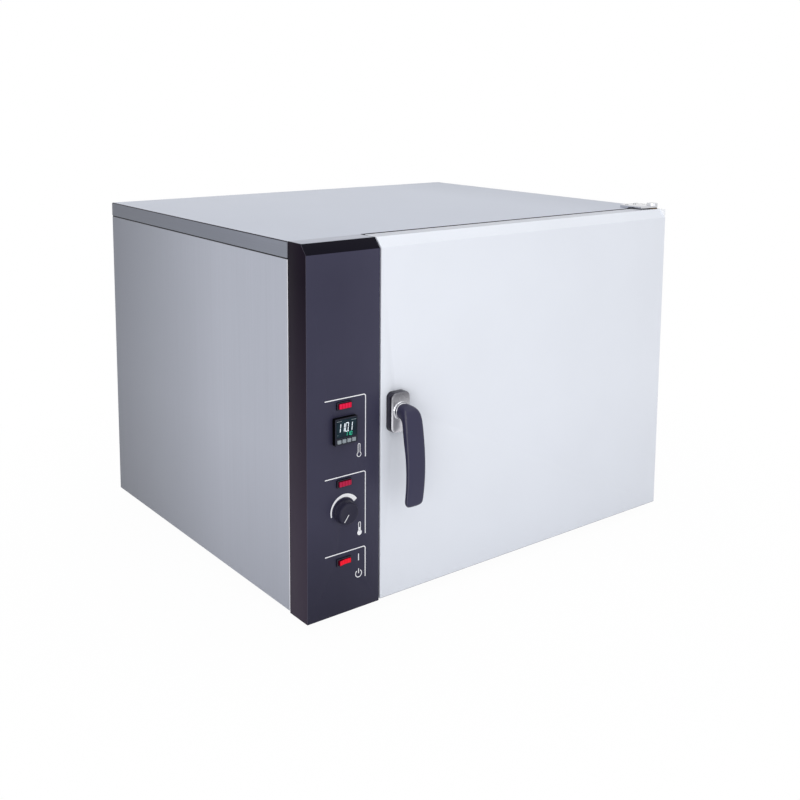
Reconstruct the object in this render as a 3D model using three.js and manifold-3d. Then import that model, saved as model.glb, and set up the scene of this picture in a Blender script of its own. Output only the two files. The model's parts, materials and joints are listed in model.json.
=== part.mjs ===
// Bench laboratory oven: folded steel casing, control column, side-hinged door with a
// lever latch, and a fan-circulated stainless chamber with two wire shelves.
// Millimetres. X runs along the width, the front faces -Y and +Z is up.

import * as THREE from 'three';
import { mergeVertices } from 'three/addons/utils/BufferGeometryUtils.js';
import Module from 'manifold-3d';

const wasm = await Module();
wasm.setup();

// Driving sizes

const seatGap = 0.3;
const overrun = 5;
const halfShare = 0.5;
const casing = {
  width: 950, depth: 742, height: 666, sheet: 1.5, lidLip: 29, seam: 2.5, step: 3, flange: 18,
};
const foot = { height: 18, radius: 21, insetX: 75, insetY: 70, taperShare: 0.82, stud: 4, studRise: 9 };
const front = { depth: 57, bevelDrop: 18, bevelRun: 16, drop: 4, sheet: 2 };
const column = { width: 155, sideSetback: 0.6 };
const door = { gap: 3, edgeInset: 16, standOff: 7, sheet: 1.5, bottomGap: 2, trayDeep: 12 };
const chamber = { leftWall: 80, rightWall: 75, floor: 76, roof: 94, rearSpace: 183, sheet: 1, flange: 20 };
const bulkhead = { thick: 2, bayInset: 12 };
const insulation = { gap: 1, rear: 78, rightClear: 2 };
const hinge = {
  inset: 12, pin: 5, bush: 8, bushDeep: 14, play: 0.3, plate: 4, lift: 3, plateWidth: 56, boss: 12,
  bossRise: 5, lap: 24, bushFlange: 11, bushFlangeThick: 2,
};
const gasket = { inset: 6, width: 14, crown: 4 };
const latch = {
  fromEdge: 32, height: 357, housingWidth: 42, housingHeight: 74, housingDeep: 17, collar: 15, collarDeep: 6,
  spindle: 6, bore: 6.6, cornerRadius: 15, edgeRound: 2.5, camReach: 18, camThick: 5, camWidth: 13,
  pocket: 46, pocketDeep: 24,
};
const lever = {
  width: 38.4, length: 165, stand: 1.2, neckHigh: 13.5, neckLow: 13, neckReach: 37, neckUnder: 31,
  elbowReach: 55, elbowRound: 3, elbowDrop: 2, crook: 27, bowReach: 74, endReach: 60.5, endRound: 4,
  thickTop: 11, thickEnd: 9, edgeRound: 2.5, spindleSeat: 12,
};
const panel = { fromSide: 76.4 };
const controller = {
  size: 48, bezelDeep: 9, bodySize: 44.6, bodyDeep: 78, height: 339, corner: 2, window: 43, windowHigh: 32,
  windowDeep: 1.4, windowShift: 5.6, keyWidth: 7.8, keyHigh: 6.8, keyPitch: 10.3, keyDrop: 17.4, keyProud: 1.2,
  keyDeep: 4, keyPlay: 0.35, keyTravel: 0.8, keys: 4,
};
const lamp = {
  width: 31, high: 14, flange: 3, bodyWidth: 28.4, bodyHigh: 11.6, bodyDeep: 24, lensWidth: 26, lensHigh: 9.6,
  lensProud: 3, corner: 1.5, aboveController: 44, belowController: 96.5,
};
const thermostat = {
  belowLamp: 52, bodyRadius: 18, bodyDeep: 30, shaft: 3, hub: 7, knobBase: 21.5, knobTop: 19.8, knobDeep: 17,
  knobRound: 2.5, knobGap: 1, pointerWide: 1.2, pointerDeep: 0.6, restTurn: 0.925,
};
const rocker = {
  belowKnob: 93, width: 31, high: 14, flange: 2, bodyWidth: 28.4, bodyHigh: 11.6, bodyDeep: 20, capWidth: 25,
  capHigh: 9, crown: 3.2, corner: 1.5, pivotBack: 3, restTilt: 0.105, play: 0.8,
};
const runner = {
  levels: 7, uprightWide: 14, uprightDeep: 5, rail: 14, railThick: 1.5, first: 60, last: 68, wallGap: 0.6,
};
const shelf = {
  frameRod: 3, wireRod: 1.5, wires: 17, stays: 2, sideClear: 10, frontGap: 8, rearGap: 17, seat: 0.3,
  levels: [1, 4],
};
const baffle = {
  back: 60, sideGap: 22, endGap: 14, sheet: 1.2, hole: 12, holes: 10, ring: 58, centreHole: 26, fold: 20,
};
const fan = {
  radius: 82, hub: 12, disc: 1.6, blade: 34, bladeThick: 1.2, blades: 12, gap: 9, shaft: 5, motor: 46,
  motorDeep: 62,
  motorBoss: 16, bearing: 9, bladeInnerShare: 0.45, finShare: 0.9, standoff: 5,
};
const heater = { ring: 104, tube: 4, legs: 26, legReach: 34, behind: 12 };
const vent = { radius: 16, wall: 1.5, fromRight: 225, fromTop: 184, proud: 22, flange: 26, flangeThick: 2 };
const inlet = {
  fromLeft: 80, rise: 72, width: 34, high: 26, deep: 22, proud: 3, socketWidth: 26, socketHigh: 18,
  socketDeep: 16,
};
const sensor = { radius: 3, length: 90, nut: 9, nutThick: 6, fromTop: 200, y: 300, safetyY: 330 };
const relay = { width: 45, high: 58, deep: 28, fin: 40, finThick: 2, fins: 6, base: 4, fromTop: 384, y: 330 };
const terminals = { pole: 14, poles: 6, deep: 24, high: 22, rise: 102, fromBack: 182, screw: 3 };
const louvre = { count: 9, width: 90, high: 5, pitch: 14, fromTop: 214 };
const facets = {
  roundCount: 24, fineCount: 32, smallCount: 12, wireCount: 4, rodCount: 8, nutCount: 6, bevelCount: 2,
  cornerCount: 4,
};
const quarterTurn = Math.PI * halfShare;

// Places worked out from the driving sizes

const left = -casing.width * halfShare;
const right = casing.width * halfShare;
const casingBottom = foot.height;
const frontBottom = casingBottom - front.drop;
const top = casingBottom + casing.height;
const lipBottom = top - casing.lidLip;
const skinTop = lipBottom - casing.seam;
const innerTop = skinTop - casing.sheet - seatGap;
const columnLeft = left + column.sideSetback;
const columnRight = left + column.width;
const doorLeft = columnRight + door.gap;
const doorRight = right - door.edgeInset;
const doorBottom = frontBottom + door.bottomGap;
const face = -front.depth;
const pivot = { x: doorRight - hinge.inset, y: -front.depth * halfShare };
const bulkheadBack = casing.sheet + seatGap + bulkhead.thick;
const chamberRight = right - chamber.rightWall;
const chamberLeft = columnRight + chamber.leftWall;
const chamberFloor = frontBottom + chamber.floor;
const chamberTop = top - chamber.roof;
const chamberFront = bulkheadBack + seatGap;
const chamberBack = casing.depth - chamber.rearSpace;
const insulationBack = chamberBack + insulation.rear;
const bayWallX = columnRight - casing.sheet;
const centreX = (chamberLeft + chamberRight) * halfShare;
const centreZ = (chamberFloor + chamberTop) * halfShare;
const shelfFront = chamberFront + shelf.frontGap;
const shelfBack = chamberBack - baffle.back - shelf.rearGap;
const inletX = left + inlet.fromLeft;
const inletZ = casingBottom + inlet.rise;
const ventX = right - vent.fromRight;
const ventZ = top - vent.fromTop;
const sensorZ = top - sensor.fromTop;
const relayZ = top - relay.fromTop;
const terminalsZ = casingBottom + terminals.rise;
const terminalsY = casing.depth - terminals.fromBack;
const panelX = columnLeft + panel.fromSide;
const controllerZ = frontBottom + controller.height;
const heatingLampZ = controllerZ + lamp.aboveController;
const safetyLampZ = controllerZ - lamp.belowController;
const thermostatZ = safetyLampZ - thermostat.belowLamp;
const rockerZ = thermostatZ - rocker.belowKnob;
const latchX = doorLeft + latch.fromEdge;
const latchZ = frontBottom + latch.height;
const leverBack = face - seatGap - latch.housingDeep - latch.collarDeep - lever.stand;
const latchSpindleFront = leverBack - lever.spindleSeat;

// Finishes

const finish = {
  satin: { color: 0xc4c9d1, roughness: 0.38, metalness: 0.7 },
  white: { color: 0xe6e9ef, roughness: 0.42, metalness: 0.1 },
  black: { color: 0x2b2a33, roughness: 0.45, metalness: 0.1 },
  chrome: { color: 0xd8d9de, roughness: 0.1, metalness: 1 },
  steel: { color: 0xa9adb3, roughness: 0.35, metalness: 0.9 },
  bright: { color: 0xbfc3c7, roughness: 0.28, metalness: 0.9 },
  wool: { color: 0xcdbf95, roughness: 0.95, metalness: 0 },
  rubber: { color: 0x1d1d1f, roughness: 0.8, metalness: 0 },
  silicone: { color: 0xb4503c, roughness: 0.6, metalness: 0 },
  plastic: { color: 0x1c1d22, roughness: 0.4, metalness: 0 },
  glass: { color: 0x101820, roughness: 0.12, metalness: 0 },
  key: { color: 0xaab0b8, roughness: 0.5, metalness: 0 },
  red: { color: 0xd0203c, roughness: 0.25, metalness: 0 },
  brass: { color: 0xb59a55, roughness: 0.35, metalness: 0.9 },
  ceramic: { color: 0xe8e2d4, roughness: 0.6, metalness: 0 },
  paint: { color: 0x4b5058, roughness: 0.6, metalness: 0.2 },
};

// Solids

function solid(geometry) {
  const bare = geometry.clone();
  bare.deleteAttribute('normal');
  bare.deleteAttribute('uv');
  const merged = mergeVertices(bare);
  return new wasm.Manifold(new wasm.Mesh({
    numProp: 3,
    vertProperties: new Float32Array(merged.attributes.position.array),
    triVerts: new Uint32Array(merged.index.array),
  }));
}

function geometryOf(body) {
  const mesh = body.getMesh();
  const geometry = new THREE.BufferGeometry();
  geometry.setAttribute('position', new THREE.BufferAttribute(new Float32Array(mesh.vertProperties), 3));
  geometry.setIndex(new THREE.BufferAttribute(new Uint32Array(mesh.triVerts), 1));
  geometry.computeVertexNormals();
  return geometry;
}

function block(x0, x1, y0, y1, z0, z1) {
  const geometry = new THREE.BoxGeometry(x1 - x0, y1 - y0, z1 - z0);
  geometry.translate((x0 + x1) * halfShare, (y0 + y1) * halfShare, (z0 + z1) * halfShare);
  return solid(geometry);
}

// A block given by its centre on the front plane, its size and the two depths it spans.
function frontBlock(x, z, width, high, y0, y1) {
  return block(
    x - width * halfShare, x + width * halfShare, y0, y1, z - high * halfShare, z + high * halfShare,
  );
}

function outline(points) {
  return new THREE.Shape(points.map(([u, v]) => new THREE.Vector2(u, v)));
}

// An XZ shape pushed back from y0 to y1.
function alongY(shape, y0, y1, bevel = 0) {
  const geometry = new THREE.ExtrudeGeometry(shape, {
    depth: y1 - y0 - bevel * 2,
    bevelEnabled: bevel > 0,
    bevelSize: bevel,
    bevelThickness: bevel,
    bevelOffset: -bevel,
    bevelSegments: facets.bevelCount,
    curveSegments: facets.cornerCount,
  });
  geometry.rotateX(quarterTurn);
  geometry.translate(0, y1 - bevel, 0);
  return solid(geometry);
}

// An XY shape raised from z0 to z1.
function alongZ(shape, z0, z1) {
  const geometry = new THREE.ExtrudeGeometry(shape, {
    depth: z1 - z0, bevelEnabled: false, curveSegments: facets.smallCount,
  });
  geometry.translate(0, 0, z0);
  return solid(geometry);
}

// A YZ shape stretched from x0 to x1.
function alongX(shape, x0, x1, bevel = 0) {
  const geometry = new THREE.ExtrudeGeometry(shape, {
    depth: x1 - x0 - bevel * 2,
    bevelEnabled: bevel > 0,
    bevelSize: bevel,
    bevelThickness: bevel,
    bevelOffset: -bevel,
    bevelSegments: facets.bevelCount,
    curveSegments: facets.cornerCount,
  });
  geometry.rotateX(quarterTurn);
  geometry.rotateZ(quarterTurn);
  geometry.translate(x0 + bevel, 0, 0);
  return solid(geometry);
}

function barY(x, z, radius, y0, y1, sides = facets.roundCount, endRadius = radius) {
  const geometry = new THREE.CylinderGeometry(endRadius, radius, y1 - y0, sides);
  geometry.translate(0, (y1 - y0) * halfShare, 0);
  geometry.translate(x, y0, z);
  return solid(geometry);
}

function barZ(x, y, radius, z0, z1, sides = facets.roundCount, endRadius = radius) {
  const geometry = new THREE.CylinderGeometry(endRadius, radius, z1 - z0, sides);
  geometry.rotateX(quarterTurn);
  geometry.translate(x, y, (z0 + z1) * halfShare);
  return solid(geometry);
}

function barX(y, z, radius, x0, x1, sides = facets.roundCount) {
  const geometry = new THREE.CylinderGeometry(radius, radius, x1 - x0, sides);
  geometry.rotateZ(quarterTurn);
  geometry.translate((x0 + x1) * halfShare, y, z);
  return solid(geometry);
}

function joined(bodies) {
  return bodies.reduce((whole, body) => whole.add(body));
}

function roundedRect(x, z, width, high, radius) {
  const x0 = x - width * halfShare;
  const x1 = x + width * halfShare;
  const z0 = z - high * halfShare;
  const z1 = z + high * halfShare;
  const shape = new THREE.Shape();
  shape.moveTo(x0 + radius, z0);
  shape.lineTo(x1 - radius, z0);
  shape.absarc(x1 - radius, z0 + radius, radius, -quarterTurn, 0);
  shape.lineTo(x1, z1 - radius);
  shape.absarc(x1 - radius, z1 - radius, radius, 0, quarterTurn);
  shape.lineTo(x0 + radius, z1);
  shape.absarc(x0 + radius, z1 - radius, radius, quarterTurn, Math.PI);
  shape.lineTo(x0, z0 + radius);
  shape.absarc(x0 + radius, z0 + radius, radius, Math.PI, Math.PI + quarterTurn);
  return shape;
}

// The scene graph

const oven = new THREE.Group();

function place(name, body, look, at = [0, 0, 0], turnZ = 0) {
  const mesh = new THREE.Mesh(geometryOf(body), new THREE.MeshStandardMaterial(finish[look]));
  mesh.name = name;
  mesh.position.set(...at);
  mesh.rotation.z = turnZ;
  oven.add(mesh);
}

// Casing

function lid() {
  const t = casing.sheet;
  const lipFlange = casing.flange - casing.step;
  const shape = outline([
    [left, lipBottom], [left + lipFlange, lipBottom], [left + lipFlange, lipBottom + t],
    [left + t, lipBottom + t],
    [left + t, top - t], [right - t, top - t], [right - t, lipBottom + t], [right - lipFlange, lipBottom + t],
    [right - lipFlange, lipBottom], [right, lipBottom], [right, top], [left, top],
  ]);
  const cover = alongY(shape, 0, casing.depth);
  const rearLip = block(left + t, right - t, casing.depth - t, casing.depth, lipBottom, top - t);
  const frontLip = block(left + t, right - t, 0, t, top - casing.flange, top - t);
  return cover.add(rearLip).add(frontLip);
}

// A side panel, folded in at the front, rear and bottom, with a joggled top edge under the lid's lip.
function sidePanel(side) {
  const t = casing.sheet;
  const outer = side * right;
  const inward = (distance) => outer - side * distance;
  const seat = lipBottom - seatGap;
  const slab = (a, b, y0, y1, z0, z1) => block(Math.min(a, b), Math.max(a, b), y0, y1, z0, z1);
  const depth = casing.depth;
  const whole = slab(outer, inward(casing.flange), 0, depth, casingBottom, seat);
  const hollow = slab(
    inward(t), inward(casing.flange + overrun), t, depth - t, casingBottom + t, skinTop - t,
  );
  const joggle = slab(
    inward(-overrun), inward(casing.step), -overrun, depth + overrun, skinTop, seat + overrun,
  );
  const underFlange = slab(
    inward(casing.step + t), inward(casing.flange + overrun), -overrun, depth + overrun,
    skinTop - t - seatGap, seat - t,
  );
  return whole.subtract(hollow).subtract(joggle).subtract(underFlange);
}

// A sheet across the back between the side panels, with louvres behind the control bay.
function rearPanel() {
  const t = casing.sheet;
  const y1 = casing.depth - t - seatGap;
  const inner = casing.step;
  let sheet = block(left + inner, right - inner, y1 - t, y1, casingBottom + t + seatGap, innerTop);
  for (let i = 0; i < louvre.count; i += 1) {
    const z = top - louvre.fromTop - i * louvre.pitch;
    sheet = sheet.subtract(
      frontBlock(inletX, z, louvre.width, louvre.high, y1 - t - overrun, y1 + overrun),
    );
  }
  const cut = frontBlock(inletX, inletZ, inlet.width, inlet.high, y1 - t - overrun, y1 + overrun);
  return sheet.subtract(cut).subtract(ventHole(y1 - t, y1));
}

function basePan() {
  const t = casing.sheet;
  const floor = casingBottom + t + seatGap;
  const inner = t + seatGap;
  const y0 = bulkheadBack + seatGap;
  const y1 = casing.depth - (t + seatGap) * 2;
  const wall = casing.flange;
  const tray = block(left + inner, right - inner, y0, y1, floor, floor + wall);
  const hollow = block(
    left + inner + t, right - inner - t, y0 + t, y1 - t, floor + t, floor + wall + overrun,
  );
  let pan = tray.subtract(hollow);
  for (const [x, y] of footPlaces()) {
    pan = pan.subtract(
      barZ(x, y, foot.stud + seatGap, floor - overrun, floor + t + overrun, facets.smallCount),
    );
  }
  return pan;
}

function footPlaces() {
  const x = right - foot.insetX;
  const rear = casing.depth - foot.insetY;
  return [[-x, foot.insetY], [x, foot.insetY], [-x, rear], [x, rear]];
}

// A tapered rubber foot with its stud through the base pan.
function rubberFoot([x, y]) {
  const seat = casingBottom + casing.sheet;
  const pad = barZ(x, y, foot.radius * foot.taperShare, 0, seat, facets.roundCount, foot.radius);
  return pad.add(barZ(x, y, foot.stud, seat, seat + foot.studRise, facets.smallCount));
}

function latchPocket(y0, y1, margin = 0) {
  const size = latch.pocket + margin * 2;
  return frontBlock(latchX, latchZ, size, size, y0, y1);
}

// The flat front of the cabinet, open to the chamber, the control bay and the latch pocket.
function frontBulkhead() {
  const y0 = casing.sheet + seatGap;
  const y1 = bulkheadBack;
  const cut = (x0, x1, z0, z1) => block(x0, x1, y0 - overrun, y1 + overrun, z0, z1);
  const inner = casing.step + casing.sheet + seatGap;
  const sheetBottom = casingBottom + casing.sheet + seatGap;
  const inset = bulkhead.bayInset;
  const sheet = block(
    left + inner, right - inner, y0, y1, sheetBottom, lipBottom - seatGap * 2 - casing.sheet,
  );
  return sheet
    .subtract(cut(chamberLeft, chamberRight, chamberFloor, chamberTop))
    .subtract(
      cut(
        left + casing.flange + inset, bayWallX - inset, casingBottom + casing.flange + inset,
        lipBottom - casing.flange - inset,
      ),
    )
    .subtract(latchPocket(y0 - overrun, y1 + overrun));
}

function bayWall() {
  const y1 = casing.depth - (casing.sheet + seatGap) * 3;
  const z0 = casingBottom + (casing.sheet + seatGap) * 2 + seatGap;
  const y0 = bulkheadBack + casing.sheet + seatGap * 2;
  const z1 = lipBottom - casing.sheet;
  const slab = block(bayWallX - casing.flange, columnRight, y0, y1, z0 + casing.flange, z1);
  const beyondFold = block(
    bayWallX - casing.flange - overrun, bayWallX, y0 + casing.sheet, y1 + overrun, z0, z1 + overrun,
  );
  const skirt = block(bayWallX, columnRight, y0, y1, z0, z0 + casing.flange * 2);
  return slab.subtract(beyondFold).add(skirt).subtract(probeHoles(bayWallX, columnRight, seatGap));
}

// Holes shared by the sheets and slabs that a probe or the vent passes through

function ventHole(y0, y1) {
  return barY(ventX, ventZ, vent.radius + seatGap, y0 - overrun, y1 + overrun);
}

function probeHoles(x0, x1, clearance) {
  const hole = (y) => barX(
    y, sensorZ, sensor.radius + clearance, x0 - overrun, x1 + overrun, facets.smallCount,
  );
  return hole(sensor.y).add(hole(sensor.safetyY));
}

// Chamber

function chamberLiner() {
  const t = chamber.sheet;
  const y0 = chamberFront;
  const outerBox = block(
    chamberLeft - t, chamberRight + t, y0, chamberBack, chamberFloor - t, chamberTop + t,
  );
  const inside = block(chamberLeft, chamberRight, y0 - overrun, chamberBack - t, chamberFloor, chamberTop);
  const f = chamber.flange;
  const rim = block(chamberLeft - f, chamberRight + f, y0, y0 + t, chamberFloor - f, chamberTop + f);
  const back = (x, z, radius) => barY(
    x, z, radius, chamberBack - t - overrun, chamberBack + overrun, facets.smallCount,
  );
  const legs = heaterLegs().map(([x, z]) => back(x, z, heater.tube + seatGap));
  let box = outerBox.add(rim).subtract(inside).subtract(
    latchPocket(y0 - overrun, y0 + t + overrun, seatGap),
  );
  for (const hole of legs) box = box.subtract(hole);
  return box
    .subtract(back(centreX, centreZ, fan.bearing + seatGap))
    .subtract(ventHole(chamberBack - t, chamberBack))
    .subtract(probeHoles(chamberLeft - t, chamberLeft, seatGap));
}

// Mineral wool round the four sides of the liner.
function insulationSleeve() {
  const g = insulation.gap;
  const t = chamber.sheet;
  const y0 = chamberFront + t + seatGap;
  const y1 = insulationBack;
  const z0 = casingBottom + (casing.sheet + seatGap) * 3;
  const x1 = right - casing.sheet * 2 - insulation.rightClear;
  const wool = block(columnRight + seatGap, x1, y0, y1, z0 + casing.flange, lipBottom - casing.flange);
  const inside = block(
    chamberLeft - t - seatGap, chamberRight + t + seatGap, y0 - overrun, y1 + overrun,
    chamberFloor - t - seatGap, chamberTop + t + seatGap,
  );
  return wool.subtract(inside).subtract(latchPocket(y0 - overrun, y0 + latch.pocketDeep, g))
    .subtract(probeHoles(columnRight, chamberLeft - t - overrun, g));
}

function insulationRear() {
  const g = insulation.gap;
  const t = chamber.sheet;
  const y0 = chamberBack + seatGap;
  const y1 = insulationBack;
  let slab = block(chamberLeft - t, chamberRight + t, y0, y1, chamberFloor - t, chamberTop + t);
  const through = (x, z, radius) => barY(x, z, radius, y0 - overrun, y1 + overrun, facets.smallCount);
  for (const [x, z] of heaterLegs()) slab = slab.subtract(through(x, z, heater.tube + g));
  return slab.subtract(through(centreX, centreZ, fan.bearing + g)).subtract(ventHole(y0, y1));
}

function railHeight(level) {
  const pitch = (chamberTop - runner.last - chamberFloor - runner.first) / (runner.levels - 1);
  return chamberFloor + runner.first + level * pitch;
}

// A side rack: two channel uprights carrying angle runners. Side is -1 on the left.
function sideRack(side) {
  const wall = (side < 0 ? chamberLeft : chamberRight) - side * runner.wallGap;
  const slab = (a, b, y0, y1, z0, z1) => block(Math.min(a, b), Math.max(a, b), y0, y1, z0, z1);
  const y0 = shelfFront;
  const y1 = shelfBack;
  const upright = (y) => slab(
    wall, wall - side * runner.uprightDeep, y, y + runner.uprightWide, chamberFloor + seatGap,
    chamberTop - seatGap,
  );
  const inset = runner.uprightWide * 2;
  const rack = [upright(y0 + inset), upright(y1 - inset - runner.uprightWide)];
  for (let level = 0; level < runner.levels; level += 1) {
    const z = railHeight(level);
    const t = runner.railThick;
    rack.push(slab(wall - side * (runner.uprightDeep - t), wall - side * runner.rail, y0, y1, z - t, z));
    rack.push(
      slab(
        wall - side * (runner.uprightDeep - t), wall - side * runner.uprightDeep, y0, y1, z - runner.rail,
        z,
      ),
    );
  }
  return joined(rack);
}

// A wire shelf: a rod frame with wires from front to back on two stays.
function wireShelf(level) {
  const r = shelf.frameRod;
  const w = shelf.wireRod;
  const z = railHeight(level) + shelf.seat + r;
  const x0 = chamberLeft + shelf.sideClear;
  const x1 = chamberRight - shelf.sideClear;
  const y0 = shelfFront;
  const y1 = shelfBack;
  const rods = [
    barX(y0 + r, z, r, x0, x1, facets.rodCount), barX(y1 - r, z, r, x0, x1, facets.rodCount),
    barY(x0 + r, z, r, y0, y1, facets.rodCount), barY(x1 - r, z, r, y0, y1, facets.rodCount),
  ];
  for (let i = 1; i <= shelf.stays; i += 1) {
    const y = y0 + ((y1 - y0) * i) / (shelf.stays + 1);
    rods.push(barX(y, z - w * halfShare, w, x0 + r, x1 - r, facets.wireCount));
  }
  const pitch = (x1 - x0 - r * 2) / (shelf.wires + 1);
  for (let i = 1; i <= shelf.wires; i += 1) {
    rods.push(barY(x0 + r + pitch * i, z + w, w, y0 + r, y1 - r, facets.wireCount));
  }
  return joined(rods);
}

// Air circulation and heat

function rearBulkhead() {
  const y0 = insulationBack + seatGap;
  const y1 = y0 + bulkhead.thick;
  const z0 = casingBottom + (casing.sheet + seatGap) * 2 + seatGap;
  const x1 = right - casing.sheet * 2 - insulation.rightClear;
  let sheet = block(columnRight + seatGap, x1, y0, y1, z0, lipBottom - casing.sheet * 2);
  const through = (x, z, radius) => barY(x, z, radius, y0 - overrun, y1 + overrun, facets.smallCount);
  for (const [x, z] of heaterLegs()) sheet = sheet.subtract(through(x, z, heater.tube + seatGap));
  return sheet.subtract(through(centreX, centreZ, fan.bearing + seatGap)).subtract(ventHole(y0, y1));
}

// The duct cover in front of the fan, with a ring of intake holes and side folds back to the rear wall.
function airBaffle() {
  const y0 = chamberBack - baffle.back;
  const x0 = chamberLeft + baffle.sideGap;
  const x1 = chamberRight - baffle.sideGap;
  const z0 = chamberFloor + baffle.endGap;
  const z1 = chamberTop - baffle.endGap;
  const t = baffle.sheet;
  const back = chamberBack - chamber.sheet - seatGap;
  const tray = block(x0, x1, y0, back, z0, z1);
  const hollow = block(x0 + t, x1 - t, y0 + t, back + overrun, z0 + t, z1 - t);
  const outlets = block(
    x0 - overrun, x1 + overrun, y0 + baffle.fold, back + overrun, z0 + baffle.fold, z1 - baffle.fold,
  );
  let cover = tray.subtract(hollow).subtract(outlets);
  const hole = (x, z, radius) => barY(x, z, radius, y0 - overrun, y0 + t + overrun, facets.smallCount);
  for (let i = 0; i < baffle.holes; i += 1) {
    const turn = (i * Math.PI * 2) / baffle.holes;
    cover = cover.subtract(
      hole(centreX + Math.cos(turn) * baffle.ring, centreZ + Math.sin(turn) * baffle.ring, baffle.hole),
    );
  }
  return cover.subtract(hole(centreX, centreZ, baffle.centreHole));
}

// A backward-curved wheel on its own centre: disc, hub and straight blades set at a slant.
function fanWheel() {
  const disc = barY(0, 0, fan.radius, 0, fan.disc, facets.fineCount);
  const hub = barY(0, 0, fan.hub, -fan.blade * halfShare, fan.disc + fan.standoff, facets.smallCount);
  const wheel = [disc, hub];
  for (let i = 0; i < fan.blades; i += 1) {
    const geometry = new THREE.BoxGeometry(fan.radius * fan.bladeInnerShare, fan.blade, fan.bladeThick);
    geometry.rotateY(Math.PI / fan.blades * 2);
    geometry.translate(
      fan.radius * (1 - fan.bladeInnerShare * halfShare) * fan.finShare,
      -fan.blade * halfShare + fan.disc * halfShare, 0,
    );
    geometry.rotateY((i * Math.PI * 2) / fan.blades);
    wheel.push(solid(geometry));
  }
  return joined(wheel).subtract(barY(0, 0, fan.shaft + seatGap, -fan.blade, fan.blade, facets.smallCount));
}

function fanMotor() {
  const y0 = insulationBack + bulkhead.thick + seatGap * 2;
  const body = barY(centreX, centreZ, fan.motor, y0, y0 + fan.motorDeep, facets.roundCount);
  const cap = barY(
    centreX, centreZ, fan.motorBoss, y0 + fan.motorDeep, y0 + fan.motorDeep + fan.standoff,
    facets.roundCount,
  );
  const nose = barY(centreX, centreZ, fan.bearing, y0 - fan.standoff, y0, facets.smallCount);
  const bore = barY(
    centreX, centreZ, fan.shaft + seatGap, y0 - fan.standoff - overrun, y0 + fan.motorDeep * halfShare,
    facets.smallCount,
  );
  return body.add(cap).add(nose).subtract(bore);
}

function heaterLegs() {
  const z = centreZ - Math.sqrt(
    heater.ring * heater.ring - heater.legs * heater.legs * halfShare * halfShare,
  );
  return [[centreX - heater.legs * halfShare, z], [centreX + heater.legs * halfShare, z]];
}

// A tubular element bent into an open ring round the fan, its legs running back through the rear wall.
function heaterElement() {
  const y = chamberBack - chamber.sheet - heater.legReach;
  const open = Math.asin((heater.legs * halfShare) / heater.ring);
  const section = [];
  for (let i = 0; i < facets.rodCount; i += 1) {
    const turn = (Math.PI * 2 * i) / facets.rodCount;
    section.push([Math.cos(turn) * heater.tube, Math.sin(turn) * heater.tube]);
  }
  const points = [];
  for (let i = 0; i <= facets.roundCount; i += 1) {
    const turn = -quarterTurn + open + ((Math.PI * 2 - open * 2) * i) / facets.roundCount;
    points.push(
      new THREE.Vector3(centreX + Math.cos(turn) * heater.ring, y, centreZ + Math.sin(turn) * heater.ring),
    );
  }
  const ring = new THREE.ExtrudeGeometry(outline(section), {
    steps: facets.roundCount, bevelEnabled: false, extrudePath: new THREE.CatmullRomCurve3(points),
  });
  const end = insulationBack + bulkhead.thick + heater.behind;
  const legs = heaterLegs().map(
    ([x, z]) => barY(x, z, heater.tube, y - heater.tube, end, facets.smallCount),
  );
  return joined([solid(ring), ...legs]);
}

function ventTube() {
  const y0 = chamberBack - chamber.sheet * 2;
  const y1 = casing.depth + vent.proud;
  const pipe = barY(ventX, ventZ, vent.radius, y0, y1);
  const collar = barY(
    ventX, ventZ, vent.flange, casing.depth - casing.sheet, casing.depth - casing.sheet + vent.flangeThick,
  );
  return pipe.add(collar).subtract(barY(ventX, ventZ, vent.radius - vent.wall, y0 - overrun, y1 + overrun));
}

function powerInlet() {
  const back = casing.depth - casing.sheet;
  const body = frontBlock(
    inletX, inletZ, inlet.width - seatGap * 2, inlet.high - seatGap * 2, back - inlet.deep, back + seatGap,
  );
  const rim = alongY(
    roundedRect(inletX, inletZ, inlet.width + inlet.proud * 2, inlet.high + inlet.proud * 2, inlet.proud),
    back, back + inlet.proud,
  );
  const socket = frontBlock(
    inletX, inletZ, inlet.socketWidth, inlet.socketHigh, back + inlet.proud - inlet.socketDeep,
    back + overrun,
  );
  return body.add(rim).subtract(socket);
}

// A straight probe through the bay wall and the liner, held by a nut in the control bay.
function wallProbe(y) {
  const probe = barX(
    y, sensorZ, sensor.radius, bayWallX - sensor.nutThick * 2, chamberLeft + sensor.length * halfShare,
    facets.smallCount,
  );
  return probe.add(
    barX(y, sensorZ, sensor.nut, bayWallX - seatGap - sensor.nutThick, bayWallX - seatGap, facets.nutCount),
  );
}

// Control bay

function relayHeatSink() {
  const x1 = bayWallX - seatGap;
  const parts = [block(x1 - relay.base, x1, relay.y, relay.y + relay.width, relayZ, relayZ + relay.high)];
  const pitch = (relay.width - relay.finThick) / (relay.fins - 1);
  for (let i = 0; i < relay.fins; i += 1) {
    const y = relay.y + i * pitch;
    parts.push(block(x1 - relay.base - relay.fin, x1, y, y + relay.finThick, relayZ, relayZ + relay.high));
  }
  return joined(parts);
}

function relayModule() {
  const x1 = bayWallX - seatGap - relay.fin;
  return block(x1 - relay.deep, x1, relay.y, relay.y + relay.width, relayZ, relayZ + relay.high);
}

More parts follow.
